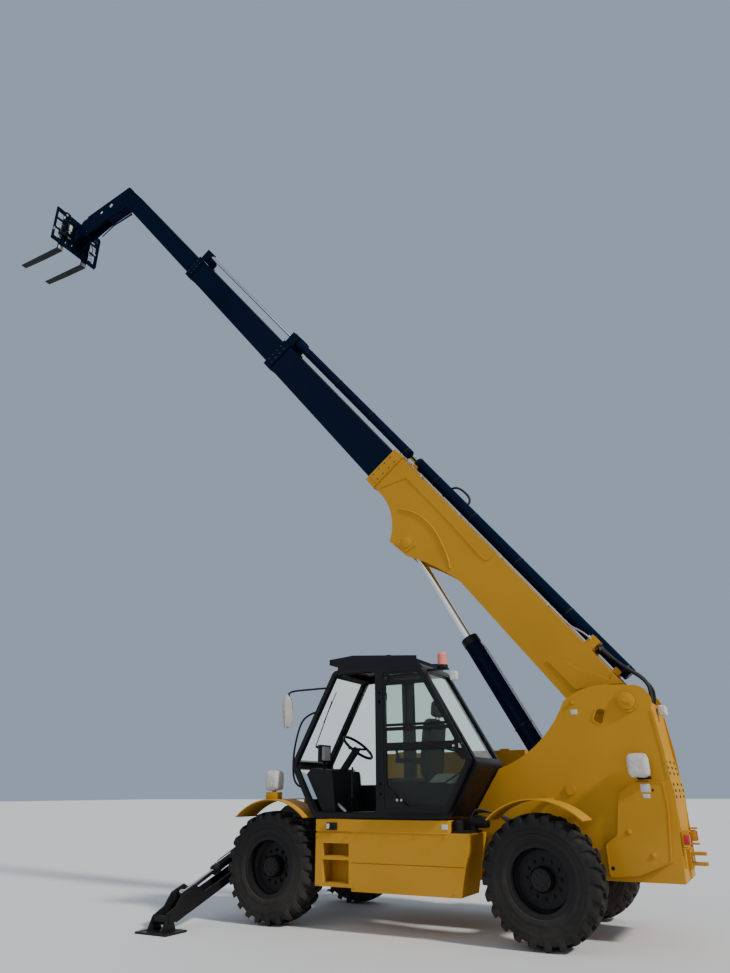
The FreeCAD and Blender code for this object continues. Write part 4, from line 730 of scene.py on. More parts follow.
@piece("ochre paint", "chassis", 40)
def rear_trim(shape):
    plate(shape, [(-1.0635, 1.97), (-1.056, 2.052), (-1.041, 2.05), (-1.045, 1.97)], -0.394, 0.394, 0.002)
    rod(shape, (-1.055, 0.0, 2.0), (-1.085, 0.0, 1.99), 0.014, sides=16)
    for y in (-0.38, 0.36):
        x = rear_wall_x(0.9)
        block(shape, (x - 0.012, y, 0.62), (x + 0.002, y + 0.02, 1.2), 0.002)
    for s in BOTH:
        for z in (0.778, 0.915):
            hook = [(-1.135, s * 0.395, z), (-1.208, s * 0.395, z), (-1.208, s * 0.3, z), (-1.135, s * 0.3, z)]
            for start, end in zip(hook, hook[1:]):
                rod(shape, start, end, 0.007, sides=10)


@piece("red lens", "chassis", 40)
def tail_lenses(shape):
    blocks(shape, 0.003, *((-1.206, s * 0.31, 0.81, -1.196, s * 0.39, 0.89) for s in BOTH))


@piece("red lens", "chassis", 40)
def tail_lens_sides(shape):
    blocks(shape, 0.002, *((-1.198, s * 0.398, 0.812, -1.16, s * 0.404, 0.888) for s in BOTH))


@piece("blank plate", "chassis", 30)
def blank_plates(shape):
    blocks(shape, 0.0008, (-0.362, TOWER_FACE - 0.001, 1.96, -0.296, TOWER_FACE + 0.002, 2.006),
           (-0.95, COVER_FACE - 0.001, 1.24, -0.864, COVER_FACE + 0.002, 1.312),
           (-0.94, COVER_FACE - 0.001, 1.19, -0.874, COVER_FACE + 0.002, 1.225),
           (0.845, 1.029, 0.922, 0.908, 1.032, 0.968), (2.15, 1.029, 0.912, 2.184, 1.052, 0.96))


# Hoses from the fittings on the boom, over the pivot and down behind the rear wall
# (y, height of the fitting off the boom's top line)
TOWER_HOSES = [(-0.175, 0.175), (0.045, 0.17), (0.09, 0.19), (0.135, 0.17)]
tower_hoses = pipes("tower_hoses", [
    [on_boom(0.64, n, y), on_boom(0.56, n, y), (-0.728, y, 2.529), (-0.835, y, 2.428), (-0.961, y, 2.33 + n - 0.17),
     (-1.036, y, 2.24 + n - 0.17), (-1.046, y, 2.15), (-1.022, y, 2.04), (-1.008, y, 1.93), (-1.01, y, 1.6)]
    for y, n in TOWER_HOSES], 0.014, "hose rubber", None)
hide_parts("pivot_hoses")
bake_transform(tower_hoses)


@piece("dark plated bolt", "boom_base", 30)
def hose_clamps(shape):
    for y, n in TOWER_HOSES:
        block(shape, on_boom(0.585, n - 0.02, y - 0.02), on_boom(0.6, n + 0.02, y + 0.02), 0.002)


@piece("black paint", "chassis", 30)
def wheelhouse_panel(shape):
    """The dark inner wall between the cab and the front left wheel."""
    plate(shape, [(2.4, 0.84), (3.42, 0.84), (3.36, 0.99), (3.2, 1.11), (3.05, 1.15), (2.75, 1.15), (2.6, 1.02),
                  (2.4, 1.0)], 0.329, 0.341, 0.002)


# Skirt: steps, tank trim, hydraulic unit

@piece("ochre paint", "chassis", 30)
def step_treads(shape):
    for z in (0.421, 0.661):
        for row in range(5):
            y = 0.87 + row * 0.034
            block(shape, (1.945, y, z - 0.002), (2.22, y + 0.01, z + 0.007), 0.002)
    for row in range(3):
        y = 0.9 + row * 0.042
        block(shape, (1.95, y, 0.999), (2.2, y + 0.012, 1.005), 0.0015)


@piece("ochre paint", "chassis", 30)
def skirt_trim(shape):
    block(shape, (0.852, 1.028, 0.884), (1.9, 1.036, 0.896), 0.002)
    for x in (0.88, 1.18, 1.5, 1.82):
        bolt(shape, x, 0.862, 1.03, 0.007)
    for x, z in ((0.8, 0.4), (1.86, 0.4), (1.945, 0.845), (2.285, 0.845), (2.285, 0.41), (1.945, 0.41)):
        bolt(shape, x, z, 1.03, 0.008)
    post(shape, 1.3, 0.8, 0.999, 1.006, 0.045, sides=28, bevel=0.003)


@piece("black moulding", "chassis", 30)
def switch_box(shape):
    block(shape, (2.066, 1.028, 0.902), (2.188, 1.05, 0.971), 0.006)
    for x in (2.09, 2.125):
        disc(shape, x, 0.938, 1.049, 1.058, 0.01, 16, 0.002)
    blocks(shape, 0.001, *((1.929, 0.845, z - 0.006, 1.934, 1.02, z + 0.006) for z in (0.7, 0.5)))


@piece("black moulding", "chassis", 35)
def unit_details(shape):
    x, y, z = 0.785, 0.9, 0.89
    for row in range(7):
        post(shape, x, y, z + 0.018 + row * 0.012, z + 0.024 + row * 0.012, 0.0515, sides=32, bevel=0.001)
    post(shape, x, y, 1.0, 1.006, 0.032, sides=6)
    for row in range(8):
        rod(shape, (0.555 + row * 0.016, 0.76, 0.982), (0.561 + row * 0.016, 0.76, 0.982), 0.051, sides=32)
    rod(shape, (0.526, 0.76, 0.982), (0.532, 0.76, 0.982), 0.03, sides=20)
    block(shape, (0.6, 0.735, 1.028), (0.665, 0.785, 1.046), 0.004)
    for y in (0.66, 0.7, 0.74, 0.78):
        post(shape, 0.705, y, 1.005, 1.03, 0.014, sides=6)
        post(shape, 0.705, y, 1.028, 1.04, 0.011, sides=12)


pipes("unit_hoses", [
    [(0.705, y, 1.035), (0.69, y, 1.062 + 0.01 * i), (0.62, y - 0.03, 1.075 + 0.01 * i), (0.52, y - 0.1, 1.06),
     (0.44, y - 0.18, 1.02), (0.38, 0.432, 0.98 - 0.03 * i)] for i, y in enumerate((0.66, 0.7, 0.74))],
    0.01, "hose rubber", "chassis")

# Mirror, lamps, beacon

MIRROR_Y = 0.97
STAY_Y = MIRROR_Y - 0.01
mirror_arms = pipes("mirror_arms", [
    [(x, MIRROR_Y, z) for x, z in ((2.256, 2.33), (2.5, 2.33), (2.765, 2.326), (2.768, 2.26), (2.768, 2.2))],
    [(x, STAY_Y, z) for x, z in ((2.391, 2.081), (2.553, 2.05), (2.64, 1.86), (2.69, 1.6), (2.665, 1.33),
                                 (2.563, 1.312))]], 0.011, "black paint", "chassis")
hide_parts("mirrors")


@piece("ochre paint", "chassis", 40)
def lamp_brackets(shape):
    for s in BOTH:
        block(shape, (2.89, s * 0.845, 1.172), (3.04, s * 0.955, 1.262), 0.006)
        post(shape, 2.965, s * 0.9, 1.258, 1.29, 0.022)
        block(shape, (-0.948, s * 0.421, 1.34), (-0.908, s * 0.48, 1.358), 0.004)
    x = rear_wall_x(0.85)
    blocks(shape, 0.003, *((x - 0.005, s * 0.302, 0.802, -1.198, s * 0.398, 0.898) for s in BOTH))


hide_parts("lamps")

BEACON = (0.887, 0.86)


@piece("black moulding", "chassis", 40)
def beacon_base(shape):
    plate(shape, [(0.828, 2.44), (1.042, 2.44), (1.05, 2.455), (0.828, 2.455)], 0.818, 0.902, 0.002)
    post(shape, *BEACON, 2.454, 2.49, 0.057, sides=36, bevel=0.004)
    blocks(shape, 0.005, *((-0.975, s * 0.455, 1.35, -0.855, s * 0.5, 1.376) for s in BOTH))


@piece("beacon lens", "chassis", 40)
def beacon_dome(shape):
    for low, high, radius, end_radius in ((2.489, 2.6, 0.05, 0.048), (2.6, 2.62, 0.048, 0.034),
                                          (2.62, 2.625, 0.034, 0.02)):
        post(shape, *BEACON, low, high, radius, end_radius, 40)
    for row in range(6):
        post(shape, *BEACON, 2.5 + row * 0.016, 2.504 + row * 0.016, 0.0512, sides=40)


@piece("pale film", "chassis", 60)
def film_wrapped_lamps(shape):
    for s in BOTH:
        wrapped(shape, (2.868, s * 0.822, 1.272), (3.062, s * 0.978, 1.49), 1.0 + s)
        wrapped(shape, (-0.985, s * 0.455, 1.362), (-0.785, s * 0.58, 1.58), 3.0 + s)
    wrapped(shape, (-1.16, -0.06, 1.935), (-1.07, 0.06, 2.045), 9.0)
    wrapped(shape, (2.732, 0.888, 1.92), (2.804, 1.062, 2.29), 5.0, 3)
    wrapped(shape, (0.675, 0.95, 2.3), (0.755, 1.012, 2.4), 7.0)


# Cab

@piece("black moulding", "chassis", 40)
def seat_shell(shape):
    lean = [(1.128, 1.33), (1.16, 1.33), (1.105, 1.9), (1.068, 1.955), (1.058, 1.9)]
    plate(shape, rounded(lean, 0.012, 3), 0.425, 0.815, 0.004)
    block(shape, (1.15, 0.405, 1.235), (1.655, 0.835, 1.275), 0.012)
    for i in range(5):
        z = 1.075 + i * 0.031
        block(shape, (1.235 - 0.006 * (i % 2), 0.49, z), (1.565 + 0.006 * (i % 2), 0.75, z + 0.026), 0.009)
    block(shape, (1.215, 0.47, 1.056), (1.58, 0.77, 1.078), 0.006)
    for y in (0.395, 0.815):
        block(shape, (1.16, y, 1.53), (1.48, y + 0.03, 1.58), 0.014)
        rod(shape, (1.15, y + 0.015, 1.545), (1.12, y + 0.015, 1.5), 0.018)
    rod(shape, (1.452, 0.83, 1.575), (1.47, 0.83, 1.68), 0.011, 0.014, 20)
    for y in (0.58, 0.66):
        rod(shape, (1.078, y, 1.925), (1.066, y, 2.03), 0.007, sides=12)


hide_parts("seat")
LEAN_BACK = Matrix.Rotation(math.radians(-6.5), 3, "Y")
CUSHION_POWER = 4.5
for name, low, high, turn in (("seat_cushion", (1.16, 0.405, 1.262), (1.665, 0.835, 1.392), None),
                              ("back_cushion", (1.085, 0.415, 1.375), (1.205, 0.825, 1.975), LEAN_BACK),
                              ("head_cushion", (1.035, 0.5, 1.985), (1.105, 0.74, 2.15), LEAN_BACK)):
    placed(name, lambda shape, a=low, b=high, t=turn: cushion(shape, a, b, CUSHION_POWER, t),
                     "seat cloth", "chassis", 60)


@piece("black moulding", "chassis", 40)
def cab_controls(shape):
    """The hand lever with its boot, the bar behind the door and the pedals."""
    rod(shape, (1.47, 0.83, 1.66), (1.478, 0.83, 1.715), 0.02, 0.016, 20, 0.004)
    for i in range(6):
        post(shape, 1.448, 0.83, 1.57 + i * 0.009, 1.576 + i * 0.009, 0.034 - i * 0.003, sides=20)
    post(shape, 1.93, 0.955, 1.2, 1.5, 0.011, sides=16)
    for y in (0.5, 0.6, 0.72):
        block(shape, (2.035, y, 1.085), (2.05, y + 0.065, 1.165), 0.006)
        rod(shape, (2.045, y + 0.03, 1.12), (2.15, y + 0.03, 1.1), 0.009, sides=12)


@piece("blank plate", "chassis", 30)
def monitor_face(shape):
    block(shape, (2.3575, 0.705, 1.58), (2.361, 0.875, 1.722), 0.001)


@piece("screen glass", "chassis", 30)
def desk_face(shape):
    blocks(shape, 0.004, *((2.19, 0.42 + i * 0.11, 1.478, 2.26, 0.5 + i * 0.11, 1.49) for i in range(4)))


@piece("cab lining", "chassis", 40)
def cab_lining(shape):
    """The pale floor mat and the housings low behind the seat."""
    block(shape, (1.02, 0.31, 1.055), (2.12, 0.93, 1.062), 0.002)
    plate(shape, rounded([(0.86, 1.062), (1.12, 1.062), (1.12, 1.3), (0.98, 1.42), (0.8, 1.42)], 0.03, 3),
          0.31, 0.92, 0.006)


DOOR_X = 1.58
DOOR_LINE = [(DOOR_X, 1.01), (2.38, 1.01), (2.68, 1.53), (2.15, 2.51), (DOOR_X, 2.515)]
DOOR_FACE = 1.0695
HANDLE_Y = DOOR_FACE + 0.045
# The side window behind the door, and the foot of its glass
REAR_LINE = [(DOOR_X, 1.01), (DOOR_X, 2.515), (1.09, 2.52), (0.505, 1.485), (0.834, 1.01)]
GLASS_FOOT = 1.333


def opened(points):
    """Places on the door as it stands open, turned back against the cab."""
    return [(2 * DOOR_X - x, z) for x, z in points]


@piece("black moulding", "cab_door", 40)
def door_trim(shape):
    rim(shape, opened(rounded(drawn_in(DOOR_LINE, 0.066), 0.05, 6)),
        opened(rounded(drawn_in(DOOR_LINE, 0.082), 0.04, 6)), DOOR_FACE - 0.002, DOOR_FACE + 0.009)
    for x, z, to_x, to_z in ((0.642, 1.64, 1.47, 1.695), (0.738, 1.835, 1.47, 1.87), (0.988, 2.292, 1.47, 2.332),
                             (1.222, 1.865, 1.24, 2.3)):
        block(shape, (x, DOOR_FACE - 0.012, z), (to_x, DOOR_FACE + 0.004, to_z), 0.002)
    plate(shape, [(0.702, 1.782), (0.666, 1.735), (0.612, 1.632), (0.584, 1.58), (0.64, 1.536), (0.745, 1.655)],
          DOOR_FACE - 0.002, DOOR_FACE + 0.003, 0.001)
    pipe(shape, [(0.7, DOOR_FACE, 1.62), (0.7, HANDLE_Y, 1.62), (0.86, HANDLE_Y, 1.66), (1.0, HANDLE_Y, 1.7),
                 (1.0, DOOR_FACE, 1.7)], 0.01, 2)
    for x, z in ((1.46, 1.24), (1.36, 1.11)):
        bolt(shape, x, z, DOOR_FACE)


@piece("bare steel", "cab_door", 40)
def door_latch(shape):
    block(shape, (0.636, DOOR_FACE - 0.002, 1.648), (0.674, DOOR_FACE + 0.0045, 1.692), 0.002)
    disc(shape, 0.72, 1.668, DOOR_FACE + 0.001, DOOR_FACE + 0.026, 0.013, 20, 0.002)
    for x in (1.353, 1.306):
        disc(shape, x, 1.181, DOOR_FACE - 0.001, DOOR_FACE + 0.008, 0.013, 20, 0.002)


@piece("black moulding", "chassis", 40)
def cab_seals(shape):
    rim(shape, rounded(drawn_in(DOOR_LINE, 0.046), 0.055, 6), rounded(drawn_in(DOOR_LINE, 0.058), 0.05, 6), 0.953,
        0.9635)
    foot = [(x, max(z, GLASS_FOOT)) for x, z in drawn_in(REAR_LINE, 0.066)]
    for low, high in ((0.999, 0.999 + 0.004), (0.241 - 0.004, 0.241)):
        y = (low + high) / 2
        for (ax, az), (bx, bz) in zip(foot, foot[1:] + foot[:1]):
            if math.hypot(bx - ax, bz - az) > 0.05:
                rod(shape, (ax, y, az), (bx, y, bz), 0.007, sides=8)
    block(shape, (1.565, 0.952, 1.09), (1.595, 0.998, 1.32), 0.003)


@piece("bare steel", "chassis", 40)
def floor_bar(shape):
    rod(shape, (2.262, 0.84, 1.2), (2.058, 0.86, 1.066), 0.017, sides=20, bevel=0.002)


@piece("black moulding", "chassis", 40)
def wiper(shape):
    """The screen wiper and the bar it hangs from, just ahead of the front glass."""
    out = Vector((0.88, 0.476)) * 0.028

    def ahead(x, y, z, share=1.0):
        return x + out.x * share, y, z + out.y * share
    rod(shape, ahead(2.585, 0.6, 1.73, 0), ahead(2.585, 0.62, 1.73), 0.012, sides=12)
    rod(shape, ahead(2.585, 0.62, 1.73), ahead(2.325, 0.7, 2.21), 0.006, sides=10)
    rod(shape, ahead(2.45, 0.69, 1.98, 0.6), ahead(2.27, 0.71, 2.31, 0.6), 0.005, sides=8)


@piece("black paint", "chassis", 40)
def roof_rack_rods(shape):
    for y in (0.34, 0.9):
        block(shape, (2.15, y - 0.055, 2.59), (2.222, y + 0.055, 2.64), 0.01)
    for i in range(9):
        x = 1.26 + i * 0.08
        z = 2.58 + (x - 1.15) * 0.0838
        rod(shape, (x, 0.31, z), (x, 0.93, z), 0.006, sides=8)


# Boom sections and their cylinders

BASE_FACE = 0.202
# Welded ribs and seams on the base's sides, as places along the boom and square to it
BELLY_RIB = [(3.58, -0.401), (3.44, -0.314), (3.27, -0.259), (3.07, -0.245), (2.89, -0.272), (2.71, -0.32),
             (2.54, -0.385), (2.46, -0.435)]
SIDE_SEAM = [(3.84, -0.05), (3.3, -0.04), (2.78, -0.045), (2.36, -0.062), (2.24, -0.062), (2.175, -0.025),
             (2.18, 0.036)]
COLLAR_SEAM = [(4.03, -0.4), (3.97, -0.27), (3.84, -0.05)]


def boom_block(shape, low, high, bevel=0.0):
    """A box lying along the boom between two (u, n, y) corners."""
    (u0, n0, y0), (u1, n1, y1) = low, high
    plate(shape, [(u0, n0), (u1, n0), (u1, n1), (u0, n1)], y0, y1, bevel, on_boom)


@piece("ochre paint", "boom_base", 30, True)
def base_doublers(shape):
    tail = [(0.18, 0.092), (0.318, 0.08), (0.293, 0.014), (0.487, -0.075), (0.533, -0.112), (0.609, -0.158),
            (0.71, -0.179), (0.872, -0.331), (0.452, -0.313), (0.33, -0.114)]
    plate(shape, tail, BASE_FACE - 0.002, BASE_FACE + 0.008, 0.002, on_boom)
    for line, radius in ((BELLY_RIB, 0.011), (SIDE_SEAM, 0.005), (COLLAR_SEAM, 0.005)):
        pipe(shape, [on_boom(u, n, BASE_FACE) for u, n in line], radius)
    disc(shape, 3.15, -0.63, BASE_FACE + 0.008, BASE_FACE + 0.018, 0.075, 32, 0.003, on_boom)
    plate(shape, rounded([(3.02, -0.53), (3.28, -0.53), (3.25, -0.74), (3.05, -0.72)], 0.04), BASE_FACE - 0.002,
          BASE_FACE + 0.01, 0.002, on_boom)


MID_N = -0.18
COLLAR_WALL = 0.018


def on_far_side(u, n, y):
    return on_boom(u, n, -y)


def collar(section, finish, height, width, end):
    """The bolts and side plates of the collar at a section's end; height and width are the section's own."""
    half = width / 2 + COLLAR_WALL
    rise = height / 2 + COLLAR_WALL

    def bolts(shape):
        for u in (end - 0.145, end - 0.045):
            for n in (MID_N + height * share for share in (0.3, 0.1, -0.1, -0.3)):
                bolt(shape, u, n, half, place=on_boom)
                bolt(shape, u, n, half, place=on_far_side)
            for y in (-width * 0.28, width * 0.28):
                for way in BOTH:
                    level = MID_N + way * rise
                    rod(shape, on_boom(u, level - way * 0.001, y), on_boom(u, level + way * 0.01, y), 0.011, sides=6)

    def plates(shape):
        boom_block(shape, (end - 0.18, MID_N - height * 0.4, half - 0.002),
                   (end - 0.01, MID_N + height * 0.4, half + 0.005), 0.002)
    placed(section + "_collar_bolts", bolts, "dark plated bolt", "boom_" + section, 30)
    placed(section + "_collar_plates", plates, finish, "boom_" + section, 30, True)


collar("base", "ochre paint", 0.54, 0.4, 4.3)
collar("second", "blue-black paint", 0.47, 0.34, 7.45)
collar("third", "blue-black paint", 0.405, 0.285, 10.83)


@piece("bare steel", "boom_base", 35)
def hose_fittings(shape):
    for u in (0.64, 0.69):
        for y in (0.045, 0.09, 0.135, -0.175):
            rod(shape, on_boom(u + 0.03, 0.175, y), on_boom(u + 0.08, 0.175, y), 0.019, sides=6)
    for u in (1.3, 2.1, 2.9, 3.7):
        boom_block(shape, (u, 0.088, 0.1), (u + 0.035, 0.118, 0.175), 0.003)


pipes("base_top_pipes", [
    [on_boom(u, n, y) for u, n in ((0.72, 0.175), (0.85, 0.165), (0.98, 0.108), (1.2, 0.106), (3.9, 0.106), (4.02, 0.1),
                                   (4.06, 0.088))] for y in (0.118, 0.14, 0.162)], 0.009, "bare steel", "boom_base")
pipes("telescope_loop", [[on_boom(*place) for place in (
    (3.06, 0.263, -0.075), (3.06, 0.31, -0.08), (3.16, 0.35, -0.09), (3.36, 0.335, -0.12), (3.46, 0.26, -0.175),
    (3.47, 0.16, -0.18), (3.47, 0.092, -0.172))]], 0.015, "hose rubber", "boom_base")

# The telescope cylinders on top of the boom: how far off its middle line, and their two sides
TELE_N = 0.19
TELE_Y = 0.075


@piece("black paint", "boom_base", 35)
def telescope_bands(shape):
    for u in (0.3, 1.15, 2.0, 2.85, 3.62, 4.02):
        wide = 0.04 if u > 4 else 0.02
        ring(shape, on_boom(u, TELE_N, -TELE_Y), on_boom(u + wide, TELE_N, -TELE_Y), 0.079, 0.074)
    rod(shape, on_boom(0.262, TELE_N, -TELE_Y), on_boom(0.245, TELE_N, -TELE_Y), 0.05, sides=28)


pipes("telescope_pipe", [[on_boom(u, TELE_N + rise, y) for u, rise, y in (
    (0.4, 0.04, -0.155), (0.5, 0.03, -0.165), (3.9, 0.03, -0.165), (4.0, 0.04, -0.15))]], 0.008, "black paint",
      "boom_base", 2)


@piece("black paint", "boom_second", 35)
def upper_bands(shape):
    for u in (4.2, 5.1, 6.0, 6.9):
        ring(shape, on_boom(u, TELE_N, TELE_Y), on_boom(u + 0.02, TELE_N, TELE_Y), 0.0695, 0.064)
    rod(shape, on_boom(7.449, TELE_N, -TELE_Y), on_boom(7.462, TELE_N, -TELE_Y), 0.05, sides=6)
    ring(shape, on_boom(7.449, TELE_N, TELE_Y), on_boom(7.458, TELE_N, TELE_Y), 0.06, 0.046)
    boom_block(shape, (7.28, TELE_N + 0.08, -0.1), (7.43, TELE_N + 0.09, 0.13), 0.003)


@piece("blue-black paint", "boom_third", 35)
def third_head(shape):
    end = 10.83
    boom_block(shape, (end - 0.24, 0.02, -0.09), (end - 0.01, 0.12, 0.02), 0.006)
    for y in (-0.075, 0.0):
        rod(shape, on_boom(end - 0.2, 0.115, y), on_boom(end - 0.06, 0.15, y), 0.03, sides=24)
    rod(shape, on_boom(end, TELE_N, TELE_Y), on_boom(end + 0.018, TELE_N, TELE_Y), 0.036, sides=6)


@piece("blank plate", "boom_third", 30)
def head_plates(shape):
    for s in BOTH:
        boom_block(shape, (10.5, 0.0245, s * 0.105), (10.66, 0.028, s * 0.135), 0.001)


@piece("black moulding", "boom_fourth", 40, True)
def fourth_holes(shape):
    for u in (13.42, 12.24):
        disc(shape, u, -0.09, 0.1145, 0.1165, 0.016, place=on_boom)


@piece("blue-black paint", "boom_fourth", 35, True)
def head_trim(shape):
    """Doubled edges, pin bosses and braces on the drop head."""
    for u, n, radius in ((15.0, -1.48, 0.085), (14.52, -0.42, 0.06)):
        disc(shape, u, n, 0.114, 0.124, radius, 32, 0.003, on_boom)
    for line in ([(14.02, -0.03), (14.69, -0.03), (15.26, -1.2), (15.3, -1.18), (14.74, -0.012), (14.02, -0.012)],
                 [(14.3, -0.4), (14.38, -0.4), (14.62, -0.86), (14.7, -1.26), (14.66, -1.26), (14.58, -0.88)]):
        plate(shape, line, 0.1135, 0.12, 0.002, on_boom)
    for u, n in ((14.1, -0.1), (14.1, -0.26), (14.26, -0.1), (14.26, -0.26)):
        bolt(shape, u, n, 0.115, 0.01, on_boom)


@piece("blank plate", "boom_fourth", 30)
def head_blank_plates(shape):
    boom_block(shape, (14.42, -0.01, -0.09), (14.6, -0.004, 0.09), 0.001)
    boom_block(shape, (14.78, -0.64, 0.1195), (14.86, -0.56, 0.122), 0.001)
    boom_block(shape, (14.92, -0.9, 0.1135), (14.98, -0.84, 0.1165), 0.001)


# Lift cylinder, tilt cylinder, jacks

def cylinder_line(joint):
    """The place of a cylinder's foot and the line it lies along, from the names of its two joints."""
    return joint_place(joint + "_swing"), joint_line(joint + "_extend")


def along_line(cylinder, distance, off=0.0, y=0.0):
    """A point along a cylinder that lies fore and aft, off its middle line."""
    foot, line = cylinder
    side = Vector((-line.z, 0, line.x))
    return foot + line * distance + side * off + Vector((0, y, 0))


LIFT = cylinder_line("lift")
TILT = cylinder_line("tilt")


@piece("black paint", "lift_barrel", 35)
def lift_bands(shape):
    for start, end, radius in ((2.17, 2.262, 0.106), (0.14, 0.17, 0.105), (1.1, 1.12, 0.104)):
        rod(shape, along_line(LIFT, start), along_line(LIFT, end), radius, sides=40, bevel=0.003)
    rod(shape, along_line(LIFT, 2.26), along_line(LIFT, 2.272), 0.06, sides=32, bevel=0.002)
    for s in BOTH:
        rod(shape, along_line(LIFT, 0, y=s * 0.044), along_line(LIFT, 0, y=s * 0.052), 0.075, sides=32)


pipes("lift_pipe", [[along_line(LIFT, s, off, 0.02) for s, off in (
    (0.3, 0.096), (0.36, 0.118), (2.05, 0.118), (2.14, 0.1))]], 0.009, "bare steel", "lift_barrel", 2)


@piece("black paint", "tilt_barrel", 35)
def tilt_bands(shape):
    for start, end, radius in ((0.715, 0.792, 0.056), (0.085, 0.105, 0.054)):
        rod(shape, along_line(TILT, start), along_line(TILT, end), radius, sides=32, bevel=0.002)
    for s in (0.7, 0.16):
        rod(shape, along_line(TILT, s, 0.046), along_line(TILT, s, 0.072), 0.016, sides=12)


def jack_bands(side):
    foot = joint_place("jack_swing_" + side)
    line = joint_line("jack_extend_" + side)
    up = Vector((0, -line.z, line.y))
    up = up if up.z > 0 else -up

    def build(shape):
        for start, end, radius in ((0.835, 0.902, 0.052), (0.075, 0.095, 0.049), (0.45, 0.462, 0.048)):
            ring(shape, foot + line * start, foot + line * end, radius, 0.043)
    placed("jack_bands_" + side, build, "black paint", "jack_barrel_" + side, 35)
    pipes("jack_pipe_" + side, [[foot + line * s + up * off for s, off in (
        (0.13, 0.043), (0.16, 0.066), (0.8, 0.066), (0.85, 0.05))]], 0.007, "bare steel", "jack_barrel_" + side, 2)


jack_bands("left")
jack_bands("right")

# Carriage and forks

BACK_X = 9.865
FOOT_Z = 12.65
TOP_Z = 13.55
CYLINDER_X = BACK_X - 0.048
UPPER_Z = FOOT_Z + 0.665
LOWER_Z = UPPER_Z - 0.42


@piece("blue-black paint", "carriage", 35)
def carriage_plates(shape):
    outline = rounded([(BACK_X - 0.1, FOOT_Z + 0.12), (BACK_X + 0.004, FOOT_Z + 0.06), (BACK_X + 0.004, TOP_Z - 0.1),
                       (BACK_X - 0.07, TOP_Z - 0.22)], 0.02, 3)
    for y in (-0.3, -0.18, 0.165, 0.285):
        plate(shape, outline, y, y + 0.016, 0.002)
    for z in (FOOT_Z + 0.045, TOP_Z - 0.045):
        for i in range(9):
            y = -0.56 + i * 0.14
            block(shape, (9.898, y, z - 0.045), (9.906, y + 0.02, z + 0.045), 0.002)
    for z in (FOOT_Z + 0.3, FOOT_Z + 0.56):
        blocks(shape, 0.003, *((BACK_X - 0.02, s * 0.16, z, BACK_X + 0.003, s * 0.57, z + 0.05) for s in BOTH))
    for y in (-0.585, 0.56):
        block(shape, (BACK_X + 0.005, y, FOOT_Z + 0.05), (9.905, y + 0.025, TOP_Z - 0.05), 0.003)


def cross_rod(shape, start, end, z, radius, **other):
    """A bar across the carriage's back."""
    rod(shape, (CYLINDER_X, start, z), (CYLINDER_X, end, z), radius, **other)


@piece("black paint", "carriage", 35)
def carriage_cylinders(shape):
    for start, end, z, radius in ((-0.5, -0.27, UPPER_Z, 0.036), (-0.3, -0.26, UPPER_Z, 0.041),
                                  (0.46, 0.27, LOWER_Z, 0.03)):
        cross_rod(shape, start, end, z, radius, sides=28, bevel=0.003)
    for y, z in ((-0.5, UPPER_Z), (0.46, LOWER_Z)):
        block(shape, (CYLINDER_X - 0.03, y - 0.02, z - 0.045), (BACK_X + 0.003, y + 0.02, z + 0.045), 0.004)


@piece("bare steel", "carriage", 35)
def carriage_rods(shape):
    cross_rod(shape, -0.27, -0.17, UPPER_Z, 0.018)
    cross_rod(shape, 0.27, 0.17, LOWER_Z, 0.016)
    blocks(shape, 0.003, (BACK_X - 0.075, 0.42, 13.28, BACK_X + 0.003, 0.45, 13.35),
           (BACK_X - 0.075, -0.33, 12.86, BACK_X + 0.003, -0.3, 12.93))


# (distance behind the back, y, z)
pipes("carriage_hoses", [[(BACK_X - behind, y, z) for behind, y, z in run] for run in (
    ((0.06, -0.22, 13.35), (0.1, -0.24, 13.41), (0.11, -0.32, 13.44), (0.09, -0.4, 13.41), (0.06, -0.46, 13.35)),
    ((0.03, 0.3, 13.3), (0.09, 0.33, 13.18), (0.1, 0.3, 13.02), (0.05, 0.36, 12.93)),
    ((0.03, -0.34, 13.22), (0.1, -0.36, 13.1), (0.09, -0.42, 12.98), (0.03, -0.4, 12.9)))],
      0.01, "hose rubber", "carriage")


@piece("bare steel", "carriage", 35)
def carriage_slats(shape):
    """Slats across the carriage's side windows, the clamps on its back and the collars of its cylinders."""
    for s in BOTH:
        for row in range(4):
            z = 13.16 + row * 0.085
            block(shape, (BACK_X + 0.006, s * 0.34, z), (BACK_X + 0.014, s * 0.58, z + 0.016), 0.002)
        for row in range(3):
            z = 12.74 + row * 0.075
            block(shape, (BACK_X - 0.03, s * 0.4, z), (BACK_X + 0.004, s * 0.47, z + 0.028), 0.003)
        block(shape, (BACK_X - 0.05, s * 0.2, 13.02), (BACK_X + 0.004, s * 0.25, 13.1), 0.004)
        for y, z, depth, radius in ((0.52, 12.99, 0.04, 0.026), (0.36, 13.46, 0.045, 0.022)):
            rod(shape, (BACK_X - 0.012, s * y, z), (BACK_X - depth, s * y, z), radius, sides=24, bevel=0.003)


@piece("blank plate", "carriage", 30)
def carriage_plates_blank(shape):
    block(shape, (BACK_X - 0.004, 0.08, 12.78), (BACK_X - 0.001, 0.15, 12.84), 0.0005)
    block(shape, (BACK_X - 0.03, 0.175, 13.13), (BACK_X + 0.002, 0.275, 13.29), 0.003)
    block(shape, (BACK_X - 0.034, 0.607, 12.86), (BACK_X - 0.01, 0.613, 12.94), 0.0005)


@piece("bare steel", "carriage", 35)
def fork_wear(shape):
    """Pale bare-steel strips on the tops of the forks' hooks and heels and on the faces by the heels: painted highlight
    where light catches the forks.
    """
    # bare-steel strips painted as highlight where light falls on the forks' hooks and heels
    for y in (-0.325, 0.325):
        blocks(shape, 0.001, (9.846, y - 0.057, 13.56, 9.943, y + 0.057, 13.5635),
               (9.9452, y - 0.055, 12.564, 10.02, y + 0.055, 12.5668),
               (9.898, y - 0.055, 12.53, 9.902, y + 0.055, 12.642))
        post(shape, 9.88, y, 13.56, 13.585, 0.014, sides=16, bevel=0.002)


